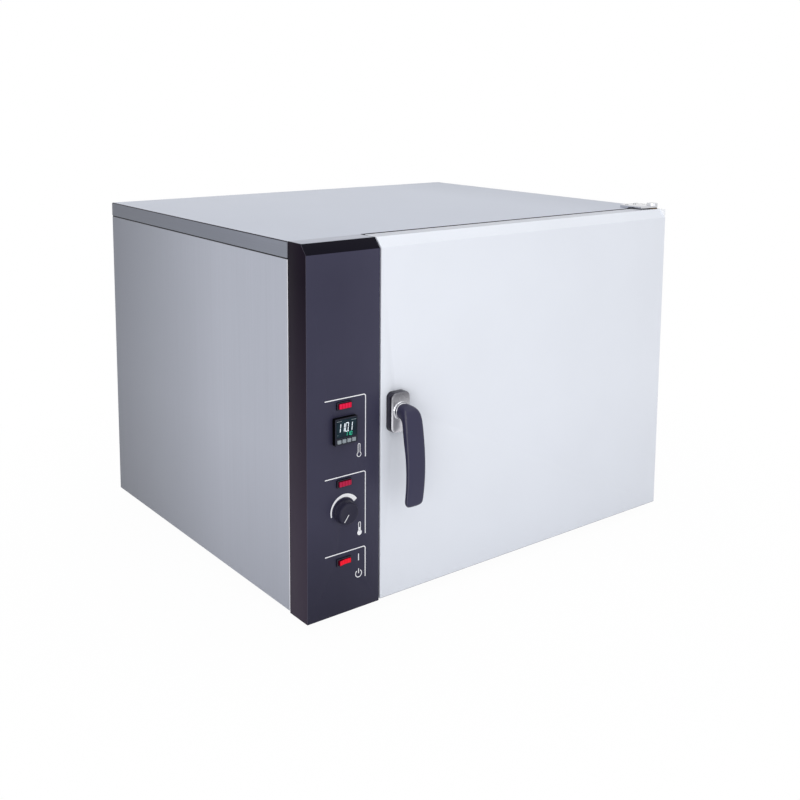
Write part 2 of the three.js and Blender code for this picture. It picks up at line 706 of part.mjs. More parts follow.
function terminalBlock() {
  const x1 = bayWallX - seatGap;
  let strip = block(
    x1 - terminals.deep, x1, terminalsY, terminalsY + terminals.pole * terminals.poles, terminalsZ,
    terminalsZ + terminals.high,
  );
  for (let i = 0; i < terminals.poles; i += 1) {
    const y = terminalsY + terminals.pole * (i + halfShare);
    const z = terminalsZ + terminals.high * halfShare;
    strip = strip.subtract(
      barX(
        y, z, terminals.screw, x1 - terminals.deep - overrun, x1 - terminals.deep * halfShare,
        facets.smallCount,
      ),
    );
  }
  return strip;
}

// Control column

// The side outline shared by the column and the door: a flat face folded back along its top edge.
function frontProfile(bottom, inset, back) {
  const slope = Math.hypot(front.bevelDrop, front.bevelRun);
  const shiftZ = (inset * (slope - front.bevelDrop)) / front.bevelRun;
  const shiftY = (inset * (slope - front.bevelRun)) / front.bevelDrop;
  return outline([
    [back, bottom + inset], [face + inset, bottom + inset], [face + inset, top - front.bevelDrop - shiftZ],
    [face + front.bevelRun + shiftY, top - inset], [back, top - inset],
  ]);
}

function columnFascia() {
  const t = front.sheet;
  const shell = alongX(frontProfile(frontBottom, 0, -seatGap), columnLeft, columnRight);
  const hollow = alongX(frontProfile(frontBottom, t, overrun), columnLeft + t, columnRight - t);
  const capSlot = block(
    columnLeft + t, columnRight - t, face + front.bevelRun, overrun, top - t - overrun, top + overrun,
  );
  const cut = (z, width, high) => (
    frontBlock(panelX, z, width + seatGap * 2, high + seatGap * 2, face - overrun, face + t + overrun)
  );
  const shaftHole = barY(
    panelX, thermostatZ, thermostat.hub + seatGap, face - overrun, face + t + overrun, facets.smallCount,
  );
  return shell.subtract(hollow).subtract(capSlot)
    .subtract(cut(controllerZ, controller.bodySize, controller.bodySize))
    .subtract(cut(heatingLampZ, lamp.bodyWidth, lamp.bodyHigh))
    .subtract(cut(safetyLampZ, lamp.bodyWidth, lamp.bodyHigh))
    .subtract(cut(rockerZ, rocker.bodyWidth, rocker.bodyHigh))
    .subtract(shaftHole);
}

function columnCap() {
  const t = front.sheet;
  return block(
    columnLeft + t + seatGap, columnRight - t - seatGap, face + front.bevelRun + seatGap, -seatGap, top - t,
    top,
  );
}

function keyPlaces() {
  const z = controllerZ - controller.keyDrop;
  const first = panelX - controller.keyPitch * (controller.keys - 1) * halfShare;
  return Array.from({ length: controller.keys }, (_, i) => [first + i * controller.keyPitch, z]);
}

// The moulded case: a bezel in front of the panel and a square body behind it.
function controllerCase() {
  const y1 = face - seatGap;
  const y0 = y1 - controller.bezelDeep;
  const z = controllerZ;
  let bezel = alongY(
    roundedRect(panelX, z, controller.size, controller.size, controller.corner), y0, y1,
    controller.corner * halfShare,
  );
  bezel = bezel.subtract(
    frontBlock(
      panelX, z + controller.windowShift, controller.window, controller.windowHigh, y0 - overrun,
      y0 + controller.windowDeep,
    ),
  );
  const pocket = controller.keyDeep - controller.keyProud + controller.keyTravel + seatGap;
  for (const [x, keyZ] of keyPlaces()) {
    const width = controller.keyWidth + controller.keyPlay * 2;
    const high = controller.keyHigh + controller.keyPlay * 2;
    bezel = bezel.subtract(frontBlock(x, keyZ, width, high, y0 - overrun, y0 + pocket));
  }
  return bezel.add(
    frontBlock(panelX, z, controller.bodySize, controller.bodySize, y1, face + controller.bodyDeep),
  );
}

function controllerDisplay() {
  const y0 = face - seatGap - controller.bezelDeep;
  const z = controllerZ + controller.windowShift;
  return frontBlock(
    panelX, z, controller.window - seatGap * 2, controller.windowHigh - seatGap * 2, y0 + seatGap,
    y0 + controller.windowDeep - seatGap,
  );
}

function controllerKey() {
  const shape = roundedRect(0, 0, controller.keyWidth, controller.keyHigh, controller.corner * halfShare);
  return alongY(shape, -controller.keyProud, controller.keyDeep - controller.keyProud);
}

function lampBody(z) {
  const y0 = face - seatGap - lamp.flange;
  const rim = alongY(roundedRect(panelX, z, lamp.width, lamp.high, lamp.corner), y0, face - seatGap);
  const body = frontBlock(panelX, z, lamp.bodyWidth, lamp.bodyHigh, face - seatGap, face + lamp.bodyDeep);
  const recess = frontBlock(
    panelX, z, lamp.lensWidth + seatGap * 2, lamp.lensHigh + seatGap * 2, y0 - overrun, face,
  );
  return rim.add(body).subtract(recess);
}

function lampLens(z) {
  const y1 = face - seatGap;
  const y0 = y1 - lamp.flange - lamp.lensProud;
  return alongY(
    roundedRect(panelX, z, lamp.lensWidth, lamp.lensHigh, lamp.corner), y0, y1, lamp.corner * halfShare,
  );
}

function thermostatBody() {
  const z = thermostatZ;
  const y0 = face + front.sheet + seatGap;
  const body = barY(panelX, z, thermostat.bodyRadius, y0, y0 + thermostat.bodyDeep, facets.roundCount);
  const nose = barY(
    panelX, z, thermostat.hub, face - thermostat.knobGap * halfShare, y0, facets.smallCount,
  );
  return body.add(nose).subtract(
    barY(
      panelX, z, thermostat.shaft + seatGap, face - overrun, y0 + thermostat.bodyDeep * halfShare,
      facets.smallCount,
    ),
  );
}

function thermostatShaft() {
  const end = thermostat.bodyDeep * halfShare;
  return barY(
    0, 0, thermostat.shaft, -thermostat.knobGap - thermostat.knobDeep * halfShare, end, facets.smallCount,
  );
}

// The knob on its own axis, its back face at y = -knobGap, tapering to a rounded front with a pointer groove.
function thermostatKnob() {
  const r = thermostat.knobRound;
  const deep = thermostat.knobDeep;
  const profile = [new THREE.Vector2(0, 0), new THREE.Vector2(thermostat.knobBase, 0)];
  for (let i = 0; i <= facets.bevelCount * 2; i += 1) {
    const turn = (quarterTurn * i) / (facets.bevelCount * 2);
    profile.push(
      new THREE.Vector2(thermostat.knobTop - r + Math.cos(turn) * r, deep - r + Math.sin(turn) * r),
    );
  }
  profile.push(new THREE.Vector2(0, deep));
  const geometry = new THREE.LatheGeometry(profile, facets.fineCount);
  geometry.rotateZ(Math.PI);
  geometry.translate(0, -thermostat.knobGap, 0);
  const y0 = -thermostat.knobGap - deep;
  const groove = new THREE.BoxGeometry(
    thermostat.knobTop * halfShare, thermostat.pointerDeep + overrun, thermostat.pointerWide,
  );
  groove.translate(
    thermostat.knobTop - thermostat.knobTop * halfShare * halfShare - r,
    y0 + (thermostat.pointerDeep - overrun) * halfShare, 0,
  );
  groove.rotateY(-(Math.PI + thermostat.restTurn));
  const bore = barY(
    0, 0, thermostat.shaft + seatGap, y0 + deep * halfShare - seatGap, overrun, facets.smallCount,
  );
  return solid(geometry).subtract(solid(groove)).subtract(bore);
}

function rockerFrame() {
  const z = rockerZ;
  const y0 = face - seatGap - rocker.flange;
  const rim = alongY(roundedRect(panelX, z, rocker.width, rocker.high, rocker.corner), y0, face - seatGap);
  const body = frontBlock(
    panelX, z, rocker.bodyWidth, rocker.bodyHigh, face - seatGap, face + rocker.bodyDeep,
  );
  const room = frontBlock(
    panelX, z, rocker.capWidth + rocker.play * 2, rocker.capHigh + rocker.play, y0 - overrun,
    face + rocker.pivotBack * 3,
  );
  return rim.add(body).subtract(room);
}

// The rocker cap about its pivot: two slanting faces that meet in a shallow valley.
function rockerCap() {
  const half = rocker.capWidth * halfShare;
  const high = rocker.capHigh * halfShare;
  const crest = -rocker.pivotBack - rocker.flange - rocker.crown;
  const valley = crest + rocker.crown * halfShare;
  const shape = outline(
    [[-half, 0], [-half, crest], [0, valley], [half, crest], [half, 0], [0, rocker.pivotBack]],
  );
  return alongZ(shape, -high, high);
}

// Door

function doorSkin() {
  const t = door.sheet;
  const shell = alongX(frontProfile(doorBottom, 0, -door.standOff), doorLeft, doorRight);
  const hollow = alongX(frontProfile(doorBottom, t, overrun), doorLeft + t, doorRight - t);
  const bushes = barZ(pivot.x, pivot.y, hinge.bush + seatGap, doorBottom - overrun, top + overrun);
  return shell.subtract(hollow).subtract(bushes)
    .subtract(barY(latchX, latchZ, latch.bore, face - overrun, face + overrun, facets.roundCount));
}

function doorInnerPanel() {
  const t = door.sheet;
  const g = t + seatGap;
  const y1 = -door.standOff;
  const z0 = doorBottom + g;
  const z1 = top - g;
  const wall = door.trayDeep;
  const tray = block(doorLeft + g, doorRight - g, y1 - wall, y1, z0, z1);
  const hollow = block(doorLeft + g + t, doorRight - g - t, y1 - wall - overrun, y1 - t, z0 + t, z1 - t);
  return tray.subtract(hollow).subtract(
    barY(latchX, latchZ, latch.bore, y1 - overrun, y1 + overrun, facets.roundCount),
  );
}

function doorInsulation() {
  const t = door.sheet;
  const g = t + seatGap;
  const back = -door.standOff - g;
  const wool = alongX(frontProfile(doorBottom, g * 2, back), doorLeft + g * 2, doorRight - g * 2);
  const clear = hinge.bush + insulation.gap;
  const rise = hinge.bushDeep + insulation.gap;
  return wool
    .subtract(barZ(pivot.x, pivot.y, clear, doorBottom, doorBottom + rise))
    .subtract(barZ(pivot.x, pivot.y, clear, top - rise, top + overrun))
    .subtract(
      barY(latchX, latchZ, latch.bore + insulation.gap, face - overrun, overrun, facets.roundCount),
    );
}

// The seal round the chamber mouth, rounded towards the door.
function doorGasket() {
  const ring = (grow) => {
    const x0 = chamberLeft - grow;
    const x1 = chamberRight + grow;
    const z0 = chamberFloor - grow;
    const z1 = chamberTop + grow;
    return [[x0, z0], [x1, z0], [x1, z1], [x0, z1]];
  };
  const shape = outline(ring(gasket.inset + gasket.width));
  shape.holes.push(outline(ring(gasket.inset)));
  const y0 = -door.standOff + seatGap;
  const body = alongY(shape, y0, casing.sheet);
  const trim = outline(ring(gasket.inset + gasket.width + overrun));
  trim.holes.push(outline(ring(gasket.inset + gasket.width - gasket.crown * halfShare)));
  return body.subtract(alongY(trim, y0 - overrun, y0 + gasket.crown * halfShare));
}

// A flanged bush pressed into the door's edge, round the pin.
function hingeBush(upper) {
  const way = upper ? 1 : -1;
  const edge = (upper ? top : doorBottom) + way * seatGap;
  const inner = edge - way * hinge.bushDeep;
  const outer = edge + way * hinge.bushFlangeThick;
  const sleeve = barZ(pivot.x, pivot.y, hinge.bush, Math.min(inner, outer), Math.max(inner, outer));
  const flange = barZ(pivot.x, pivot.y, hinge.bushFlange, Math.min(edge, outer), Math.max(edge, outer));
  const bore = barZ(
    pivot.x, pivot.y, hinge.pin + hinge.play,
    Math.min(inner, outer) - overrun, Math.max(inner, outer) + overrun,
  );
  return sleeve.add(flange).subtract(bore);
}

// A cranked plate on the casing that reaches out over the door's edge, with the pin riveted in its end.
function hingeBracket(upper) {
  const way = upper ? 1 : -1;
  const doorEdge = upper ? top : doorBottom;
  const seat = upper ? top + seatGap : casingBottom - seatGap;
  const near = doorEdge + way * hinge.lift;
  const far = near + way * hinge.plate;
  const x1 = pivot.x + hinge.boss;
  const x0 = x1 - hinge.plateWidth;
  const y1 = hinge.lap;
  const shape = new THREE.Shape();
  shape.moveTo(x0, y1);
  shape.lineTo(x0, pivot.y - hinge.boss * halfShare);
  shape.lineTo(pivot.x, pivot.y - hinge.boss);
  shape.absarc(pivot.x, pivot.y, hinge.boss, -quarterTurn, 0);
  shape.lineTo(x1, y1);
  const plate = alongZ(shape, Math.min(near, far), Math.max(near, far));
  const riser = block(x0, x1, casing.sheet, y1, Math.min(near, seat), Math.max(near, seat));
  const boss = barZ(
    pivot.x, pivot.y, hinge.boss, Math.min(far, far + way * hinge.bossRise),
    Math.max(far, far + way * hinge.bossRise),
  );
  const tip = doorEdge - way * hinge.bushDeep;
  const pin = barZ(pivot.x, pivot.y, hinge.pin, Math.min(tip, far), Math.max(tip, far));
  const body = plate.add(riser).add(pin);
  return upper ? body.add(boss) : body;
}

// Latch

function latchHousing() {
  const y1 = face - seatGap;
  const y0 = y1 - latch.housingDeep;
  const shape = roundedRect(latchX, latchZ, latch.housingWidth, latch.housingHeight, latch.cornerRadius);
  const body = alongY(shape, y0, y1, latch.edgeRound);
  const collar = barY(latchX, latchZ, latch.collar, y0 - latch.collarDeep, y0, facets.roundCount);
  return body.add(collar).subtract(
    barY(latchX, latchZ, latch.bore, y0 - latch.collarDeep - overrun, y1 + overrun, facets.roundCount),
  );
}

// The spindle on its own axis, from the lever through the door to the cam.
function latchSpindle() {
  return barY(0, 0, latch.spindle, latchSpindleFront, bulkheadBack + latch.camThick, facets.roundCount);
}

function latchCam() {
  const y0 = bulkheadBack + seatGap;
  const shape = new THREE.Shape();
  const r = latch.camWidth * halfShare + latch.spindle * halfShare;
  shape.absarc(0, 0, r, -quarterTurn, quarterTurn);
  shape.lineTo(-latch.camReach + latch.camWidth * halfShare, latch.camWidth * halfShare);
  shape.absarc(
    -latch.camReach + latch.camWidth * halfShare, 0, latch.camWidth * halfShare, quarterTurn,
    Math.PI + quarterTurn,
  );
  shape.lineTo(0, -r);
  return alongY(shape, y0, y0 + latch.camThick).subtract(
    barY(0, 0, latch.spindle + seatGap, y0 - overrun, y0 + latch.camThick + overrun, facets.roundCount),
  );
}

// The grip: a cranked, bowed bar that hangs from the hub, drawn from the side and rounded along its edges.
function latchLever() {
  const out = (reach) => face - reach;
  const end = -lever.length;
  const middle = end * halfShare;
  const crook = lever.elbowReach - lever.thickTop;
  const inner = lever.endReach - lever.thickEnd;
  const shape = new THREE.Shape();
  shape.moveTo(leverBack, lever.neckHigh);
  shape.lineTo(out(lever.neckReach), lever.neckHigh);
  shape.quadraticCurveTo(
    out(lever.elbowReach - lever.elbowRound), lever.neckHigh, out(lever.elbowReach), -lever.elbowDrop,
  );
  shape.quadraticCurveTo(out(lever.bowReach), middle, out(lever.endReach), end + lever.endRound);
  shape.quadraticCurveTo(out(lever.endReach), end, out(lever.endReach - lever.endRound), end);
  shape.lineTo(out(inner + lever.endRound), end);
  shape.quadraticCurveTo(out(inner), end, out(inner), end + lever.endRound);
  shape.quadraticCurveTo(out(lever.bowReach - lever.thickEnd), middle, out(crook), -lever.crook);
  shape.quadraticCurveTo(out(crook), -lever.neckLow, out(lever.neckUnder), -lever.neckLow);
  shape.lineTo(leverBack, -lever.neckLow);
  const half = lever.width * halfShare;
  const bar = alongX(shape, -half, half, lever.edgeRound);
  return bar.subtract(
    barY(
      0, 0, latch.spindle + seatGap, latchSpindleFront - seatGap, leverBack + overrun, facets.roundCount,
    ),
  );
}

// The strike plate round the latch pocket, on the back of the bulkhead.
function latchKeeper() {
  const y0 = chamberFront + chamber.sheet + seatGap * 2;
  const size = latch.pocket + insulation.gap * 2 - seatGap * 2;
  const wall = casing.sheet;
  const cup = frontBlock(
    latchX, latchZ, size, size, bulkheadBack + seatGap, y0 + latch.pocketDeep - insulation.gap * 2,
  );
  return cup.subtract(
    frontBlock(
      latchX, latchZ, size - wall * 2, size - wall * 2, bulkheadBack - overrun,
      y0 + latch.pocketDeep - insulation.gap * 2 - wall,
    ),
  );
}

// Assembly

place('lid', lid(), 'satin');
place('left_side_panel', sidePanel(-1), 'satin');
place('right_side_panel', sidePanel(1), 'satin');
place('rear_panel', rearPanel(), 'satin');
place('base_pan', basePan(), 'steel');
const footNames = ['foot_front_left', 'foot_front_right', 'foot_rear_left', 'foot_rear_right'];
footPlaces().forEach((spot, i) => place(footNames[i], rubberFoot(spot), 'rubber'));
place('front_bulkhead', frontBulkhead(), 'satin');
place('bay_wall', bayWall(), 'steel');
place('rear_bulkhead', rearBulkhead(), 'steel');

place('chamber_liner', chamberLiner(), 'bright');
place('insulation_sleeve', insulationSleeve(), 'wool');
place('insulation_rear', insulationRear(), 'wool');
place('shelf_rack_left', sideRack(-1), 'bright');
place('shelf_rack_right', sideRack(1), 'bright');
shelf.levels.forEach((level, i) => place(['lower_shelf', 'upper_shelf'][i], wireShelf(level), 'bright'));

place('air_baffle', airBaffle(), 'bright');
place('fan_wheel', fanWheel(), 'bright', [centreX, chamberBack - chamber.sheet - fan.gap, centreZ]);
const shaftFront = chamberBack - chamber.sheet - fan.gap - fan.blade;
place(
  'fan_shaft',
  barY(
    0, 0, fan.shaft, shaftFront, insulationBack + fan.motorDeep * halfShare - fan.standoff,
    facets.smallCount,
  ),
  'steel', [centreX, 0, centreZ],
);
place('fan_motor', fanMotor(), 'paint');
place('heater_element', heaterElement(), 'steel');
place('vent_tube', ventTube(), 'bright');
place('power_inlet', powerInlet(), 'plastic');
place('control_probe', wallProbe(sensor.y), 'steel');
place('safety_probe', wallProbe(sensor.safetyY), 'brass');
place('solid_state_relay', relayHeatSink().add(relayModule()), 'steel');
place('terminal_block', terminalBlock(), 'ceramic');

place('column_fascia', columnFascia(), 'black');
place('column_cap', columnCap(), 'satin');
place('controller_case', controllerCase(), 'plastic');
place('controller_display', controllerDisplay(), 'glass');
const keyFace = face - seatGap - controller.bezelDeep;
keyPlaces().forEach(
  ([x, z], i) => place(`controller_key_${i + 1}`, controllerKey(), 'key', [x, keyFace, z]),
);
place('heating_lamp_body', lampBody(heatingLampZ), 'plastic');
place('heating_lamp_lens', lampLens(heatingLampZ), 'red');
place('safety_lamp_body', lampBody(safetyLampZ), 'plastic');
place('safety_lamp_lens', lampLens(safetyLampZ), 'red');
place('thermostat_body', thermostatBody(), 'ceramic');
const knobAt = [panelX, face, thermostatZ];
place('thermostat_shaft', thermostatShaft(), 'steel', knobAt);
place('thermostat_knob', thermostatKnob(), 'plastic', knobAt);
place('power_switch_frame', rockerFrame(), 'plastic');
const rockerAt = [panelX, face + rocker.pivotBack, rockerZ];
place('power_switch_rocker', rockerCap(), 'red', rockerAt, rocker.restTilt);

place('door_skin', doorSkin(), 'white');
place('door_inner_panel', doorInnerPanel(), 'bright');
place('door_insulation', doorInsulation(), 'wool');
place('door_gasket', doorGasket(), 'silicone');
place('top_hinge_bush', hingeBush(true), 'brass');
place('bottom_hinge_bush', hingeBush(false), 'brass');
place('top_hinge_bracket', hingeBracket(true), 'chrome');
place('bottom_hinge_bracket', hingeBracket(false), 'chrome');
place('latch_housing', latchHousing(), 'chrome');
place('latch_spindle', latchSpindle(), 'chrome', [latchX, 0, latchZ]);
place('latch_cam', latchCam(), 'steel', [latchX, 0, latchZ]);
place('latch_lever', latchLever(), 'black', [latchX, 0, latchZ]);
place('latch_keeper', latchKeeper(), 'steel');

// The origin lies at the middle of the footprint, on the bench

const bounds = new THREE.Box3().setFromObject(oven);
const middle = bounds.getCenter(new THREE.Vector3());
oven.position.set(-middle.x, -middle.y, -bounds.min.z);

export default oven;
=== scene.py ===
"""The looks of a bench laboratory oven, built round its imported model. Metres; the front faces -Y."""
import json
import math

import bmesh
import bpy
from mathutils import Matrix, Vector

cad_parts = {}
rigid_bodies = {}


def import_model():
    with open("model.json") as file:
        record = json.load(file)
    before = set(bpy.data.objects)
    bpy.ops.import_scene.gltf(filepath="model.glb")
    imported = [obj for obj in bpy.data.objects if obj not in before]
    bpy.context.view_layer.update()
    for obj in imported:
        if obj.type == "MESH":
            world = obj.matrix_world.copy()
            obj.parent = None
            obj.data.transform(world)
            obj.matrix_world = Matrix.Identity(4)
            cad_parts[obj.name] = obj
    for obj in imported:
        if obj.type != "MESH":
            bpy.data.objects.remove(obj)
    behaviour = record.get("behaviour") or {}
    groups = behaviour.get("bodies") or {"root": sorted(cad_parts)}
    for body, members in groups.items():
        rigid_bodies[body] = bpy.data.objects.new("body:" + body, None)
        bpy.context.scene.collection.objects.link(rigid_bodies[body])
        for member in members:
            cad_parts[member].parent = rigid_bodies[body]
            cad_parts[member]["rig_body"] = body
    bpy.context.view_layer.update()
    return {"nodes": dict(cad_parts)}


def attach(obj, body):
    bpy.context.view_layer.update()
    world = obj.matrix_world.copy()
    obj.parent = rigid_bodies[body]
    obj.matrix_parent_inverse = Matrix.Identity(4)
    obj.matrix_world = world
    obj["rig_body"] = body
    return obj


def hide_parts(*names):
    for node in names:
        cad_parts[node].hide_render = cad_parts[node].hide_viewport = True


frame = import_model()
scene = bpy.context.scene
nodes = frame["nodes"]

# Sizes in millimetres, in the part's own numbers: y is 0 at the cabinet's front plane, z is 0 on the bench

MM = 0.001
FRONT_PLANE = -320.5625  # where the part's y 0 lies in the frame
FACE = -57
TOP = 684
BEVEL_Z, BEVEL_Y = 666, -41
CASE_LEFT, CASE_RIGHT, CASE_BACK = -475, 475, 742
COLUMN = (-474.4, -320)
COLUMN_BOTTOM = 14
DOOR = (-317, 459)
DOOR_BOTTOM = 16
KNOB_X, KNOB_Z = -398, 204.5
LATCH_X, LATCH_Z = -285, 371


def at(x, y, z):
    """A point given in the part's millimetres, in the frame's metres."""
    return Vector((x * MM, (y + FRONT_PLANE) * MM, z * MM))


def part_mm(v):
    """A frame point in the part's millimetres."""
    return v.x / MM, v.y / MM - FRONT_PLANE, v.z / MM


# Materials


def srgb(*rgb):
    """A colour written in 0 to 255 as linear RGBA."""
    shares = [c / 255 for c in rgb]
    return (*[c / 12.92 if c <= 0.04045 else ((c + 0.055) / 1.055) ** 2.4 for c in shares], 1)


class Finish:
    """A Principled material with helpers for its texture nodes."""

    def __init__(self, name, colour, roughness, metallic=0, **more):
        self.material = bpy.data.materials.new(name)
        self.material.use_nodes = True
        self.tree = self.material.node_tree
        self.shader = self.tree.nodes["Principled BSDF"]
        self.set("Base Color", srgb(*colour))
        self.set("Roughness", roughness)
        self.set("Metallic", metallic)
        for socket, value in more.items():
            self.set(socket.replace("_", " "), value)
        self.material.diffuse_color = srgb(*colour)

    def set(self, socket, value):
        self.shader.inputs[socket].default_value = value

    def node(self, kind, **inputs):
        made = self.tree.nodes.new(kind)
        for socket, value in inputs.items():
            slot = made.inputs[socket.replace("_", " ")]
            if isinstance(value, bpy.types.NodeSocket):
                self.tree.links.new(value, slot)
            else:
                slot.default_value = value
        return made

    def coords(self, stretch=(1, 1, 1)):
        place = self.node("ShaderNodeTexCoord")
        return self.node("ShaderNodeMapping", Vector=place.outputs["Object"], Scale=stretch).outputs[0]

    def noise(self, scale, stretch=(1, 1, 1), detail=3, rough=0.5):
        made = self.node(
            "ShaderNodeTexNoise", Vector=self.coords(stretch), Scale=scale, Detail=detail, Roughness=rough
        )
        return made.outputs["Fac"]

    def span(self, value, low, high, frm=0.3, to=0.7):
        """Goes from low to high, as value goes from frm to to."""
        made = self.node(
            "ShaderNodeMapRange", Value=value, From_Min=frm, From_Max=to, To_Min=low, To_Max=high
        )
        return made.outputs["Result"]

    def tint(self, value, low, high):
        """A colour that goes from low to high, as value goes from 0 to 1."""
        mix = self.tree.nodes.new("ShaderNodeMix")
        mix.data_type = "RGBA"
        self.tree.links.new(value, mix.inputs[0])
        mix.inputs[6].default_value, mix.inputs[7].default_value = srgb(*low), srgb(*high)
        return mix.outputs[2]

    def faded(self, colour, base, fade):
        """Painted shade: a colour that darkens along an axis of the object, by so many steps of the base
        colour.
        """
        axis, low, high, by = fade
        place = self.node("ShaderNodeSeparateXYZ", Vector=self.coords())
        share = self.span(place.outputs["xyz".index(axis)], 0, 1, low, high)
        mix = self.tree.nodes.new("ShaderNodeMix")
        mix.data_type = "RGBA"
        mix.blend_type = "MULTIPLY"
        dark, light = srgb(*shade(base, -by)), srgb(*base)
        ratio = [a / b for a, b in zip(dark[:3], light[:3])]
        self.tree.links.new(share, mix.inputs[0])
        self.tree.links.new(colour, mix.inputs[6])
        mix.inputs[7].default_value = (*ratio, 1)
        return mix.outputs[2]

    def link(self, output, socket):
        self.tree.links.new(output, self.shader.inputs[socket])

    def bump(self, height, strength, distance):
        made = self.node("ShaderNodeBump", Height=height, Strength=strength, Distance=distance)
        self.link(made.outputs[0], "Normal")


def shade(colour, by):
    """A colour made lighter by so many steps of 255."""
    return tuple(max(0, min(255, c + by)) for c in colour)


STREAKS_ACROSS, STREAKS_ALONG = 420.0, 3.0  # how fine a streak is across its length and along it


def brushed(name, colour, roughness, metallic, along, depth=0.12, spread=4, fades=(), **more):
    """Rolled or brushed sheet: long streaks along one axis in colour, gloss and height, with painted shade
    along each of its fades.
    """
    made = Finish(name, colour, roughness, metallic, **more)
    stretch = [STREAKS_ACROSS] * 3
    stretch["xyz".index(along)] = STREAKS_ALONG
    streaks = made.noise(1, stretch, 5, 0.62)
    clouds = made.noise(3.1, detail=2)
    mixed = made.node("ShaderNodeMath", Value=made.span(streaks, 0, 0.72))
    made.tree.links.new(made.span(clouds, 0, 0.28), mixed.inputs[1])
    streaked_and_shaded = made.tint(mixed.outputs[0], shade(colour, -spread), shade(colour, spread))
    for fade in fades:
        streaked_and_shaded = made.faded(streaked_and_shaded, colour, fade)
    made.link(streaked_and_shaded, "Base Color")
    made.link(made.span(streaks, roughness - 0.05, roughness + 0.06), "Roughness")
    made.bump(streaks, depth, 0.00004)
    return made.material


def coated(name, colour, roughness, scale=900, depth=0.12, spread=2, metallic=0, fades=(), **more):
    """Powder coat or moulded plastic: a fine even grain with faint uneven gloss, with painted shade along
    each of its fades.
    """
    made = Finish(name, colour, roughness, metallic, **more)
    fine = made.noise(scale, detail=3)
    clouds = made.noise(7, detail=3)
    clouded_and_shaded = made.tint(made.span(clouds, 0, 1), shade(colour, -spread), shade(colour, spread))
    for fade in fades:
        clouded_and_shaded = made.faded(clouded_and_shaded, colour, fade)
    made.link(clouded_and_shaded, "Base Color")
    made.link(made.span(clouds, roughness - 0.03, roughness + 0.04), "Roughness")
    made.bump(fine, depth, 0.00008)
    return made.material


def fibrous(name, colour):
    made = Finish(name, colour, 0.95)
    fibres = made.noise(240, (1, 1, 6), 6, 0.7)
    made.link(made.tint(made.span(fibres, 0, 1), shade(colour, -34), shade(colour, 22)), "Base Color")
    made.bump(fibres, 0.6, 0.0012)
    return made.material


def lit_lens(name, colour, glow, strength, ribbed):
    """A red lens over a lamp, with faint ribs inside; ribbed is how far they differ in colour."""
    made = Finish(name, colour, 0.25, Emission_Strength=strength, Specular_IOR_Level=0.12)
    ribs = made.node("ShaderNodeTexWave", Vector=made.coords(), Scale=52.0, Distortion=0.6, Detail=1.0)
    share = made.span(ribs.outputs["Fac"], 0, 1, 0, 1)
    made.link(made.tint(share, shade(colour, -ribbed), shade(colour, ribbed)), "Base Color")
    made.link(made.tint(share, shade(glow, -ribbed * 2), glow), "Emission Color")
    made.bump(ribs.outputs["Fac"], 0.12, 0.0002)
    return made.material


# Painted shade where the light falls off over a face, as (axis, from, to, by): metres, and steps of colour; a
# negative by paints light

SIDE_FADES = [("y", -0.08, 0.42, 56), ("z", 0.3, 0.0, 16)]
LID_FADES = [("x", 0.25, 0.475, 9)]
LIP_FADES = [("y", -0.3, 0.42, 22)]
DOOR_FADES = [("z", 0.3, 0.0, 9)]
COLUMN_FADES = [("z", 0.2, -0.02, 28), ("x", -0.4, -0.32, -6)]
COLUMN_SIDE_FADES = [("z", 0.16, 0.62, 38)]
HOUSING_FADE = ("z", 0.36, 0.4, 112)

# The grain of a coat, as (scale, depth)

WHITE_GRAIN, BLACK_GRAIN, PLASTIC_GRAIN = (700, 0.05), (620, 0.1), (1200, 0.06)

STEEL_SIDE = brushed(
    "satin_steel_sides", (181, 185, 197), 0.4, 0, "z", fades=SIDE_FADES, Specular_IOR_Level=0.25
)
STEEL_LID = brushed(
    "satin_steel_lid", (194, 199, 211), 0.45, 0, "y", fades=LID_FADES, Specular_IOR_Level=0.12
)
# Painted shade: a darker copy of the lid's steel for its sides and rear
STEEL_LIP = brushed(
    "satin_steel_lip_painted_shade", (134, 138, 149), 0.5, 0, "y", fades=LIP_FADES, Specular_IOR_Level=0.2
)
STEEL_FRONT = brushed("satin_steel_front", (160, 163, 175), 0.4, 0, "z", Specular_IOR_Level=0.3)
STEEL_EDGE = brushed("steel_edge_shadow", (40, 38, 46), 0.5, 0, "y", Specular_IOR_Level=0.1)
STEEL_CAP = brushed("satin_steel_cap", (174, 178, 190), 0.45, 0, "x", Specular_IOR_Level=0.15)
# Painted highlight on the front folds of the side panels
STEEL_HIGHLIGHT = brushed("steel_edge_painted_highlight", (240, 241, 246), 0.4, 0, "z", Specular_IOR_Level=0.2)
STAINLESS = brushed("bright_stainless", (196, 198, 201), 0.28, 0.95, "z", 0.1)
STAINLESS_SATIN = brushed("satin_stainless", (186, 188, 192), 0.5, 0.7, "z", 0.1)
GALVANISED = brushed("galvanised_steel", (158, 162, 168), 0.46, 0.8, "y", 0.1, 9)
BARE = brushed("bare_steel", (176, 178, 180), 0.3, 1.0, "y", 0.1)
WHITE = coated(
    "white_powder_coat", (235, 239, 247), 0.4, *WHITE_GRAIN, 1, fades=DOOR_FADES, Specular_IOR_Level=0.3
)
BLACK = coated(
    "black_powder_coat", (53, 52, 73), 0.42, *BLACK_GRAIN, 2, fades=COLUMN_FADES, Specular_IOR_Level=0.22
)
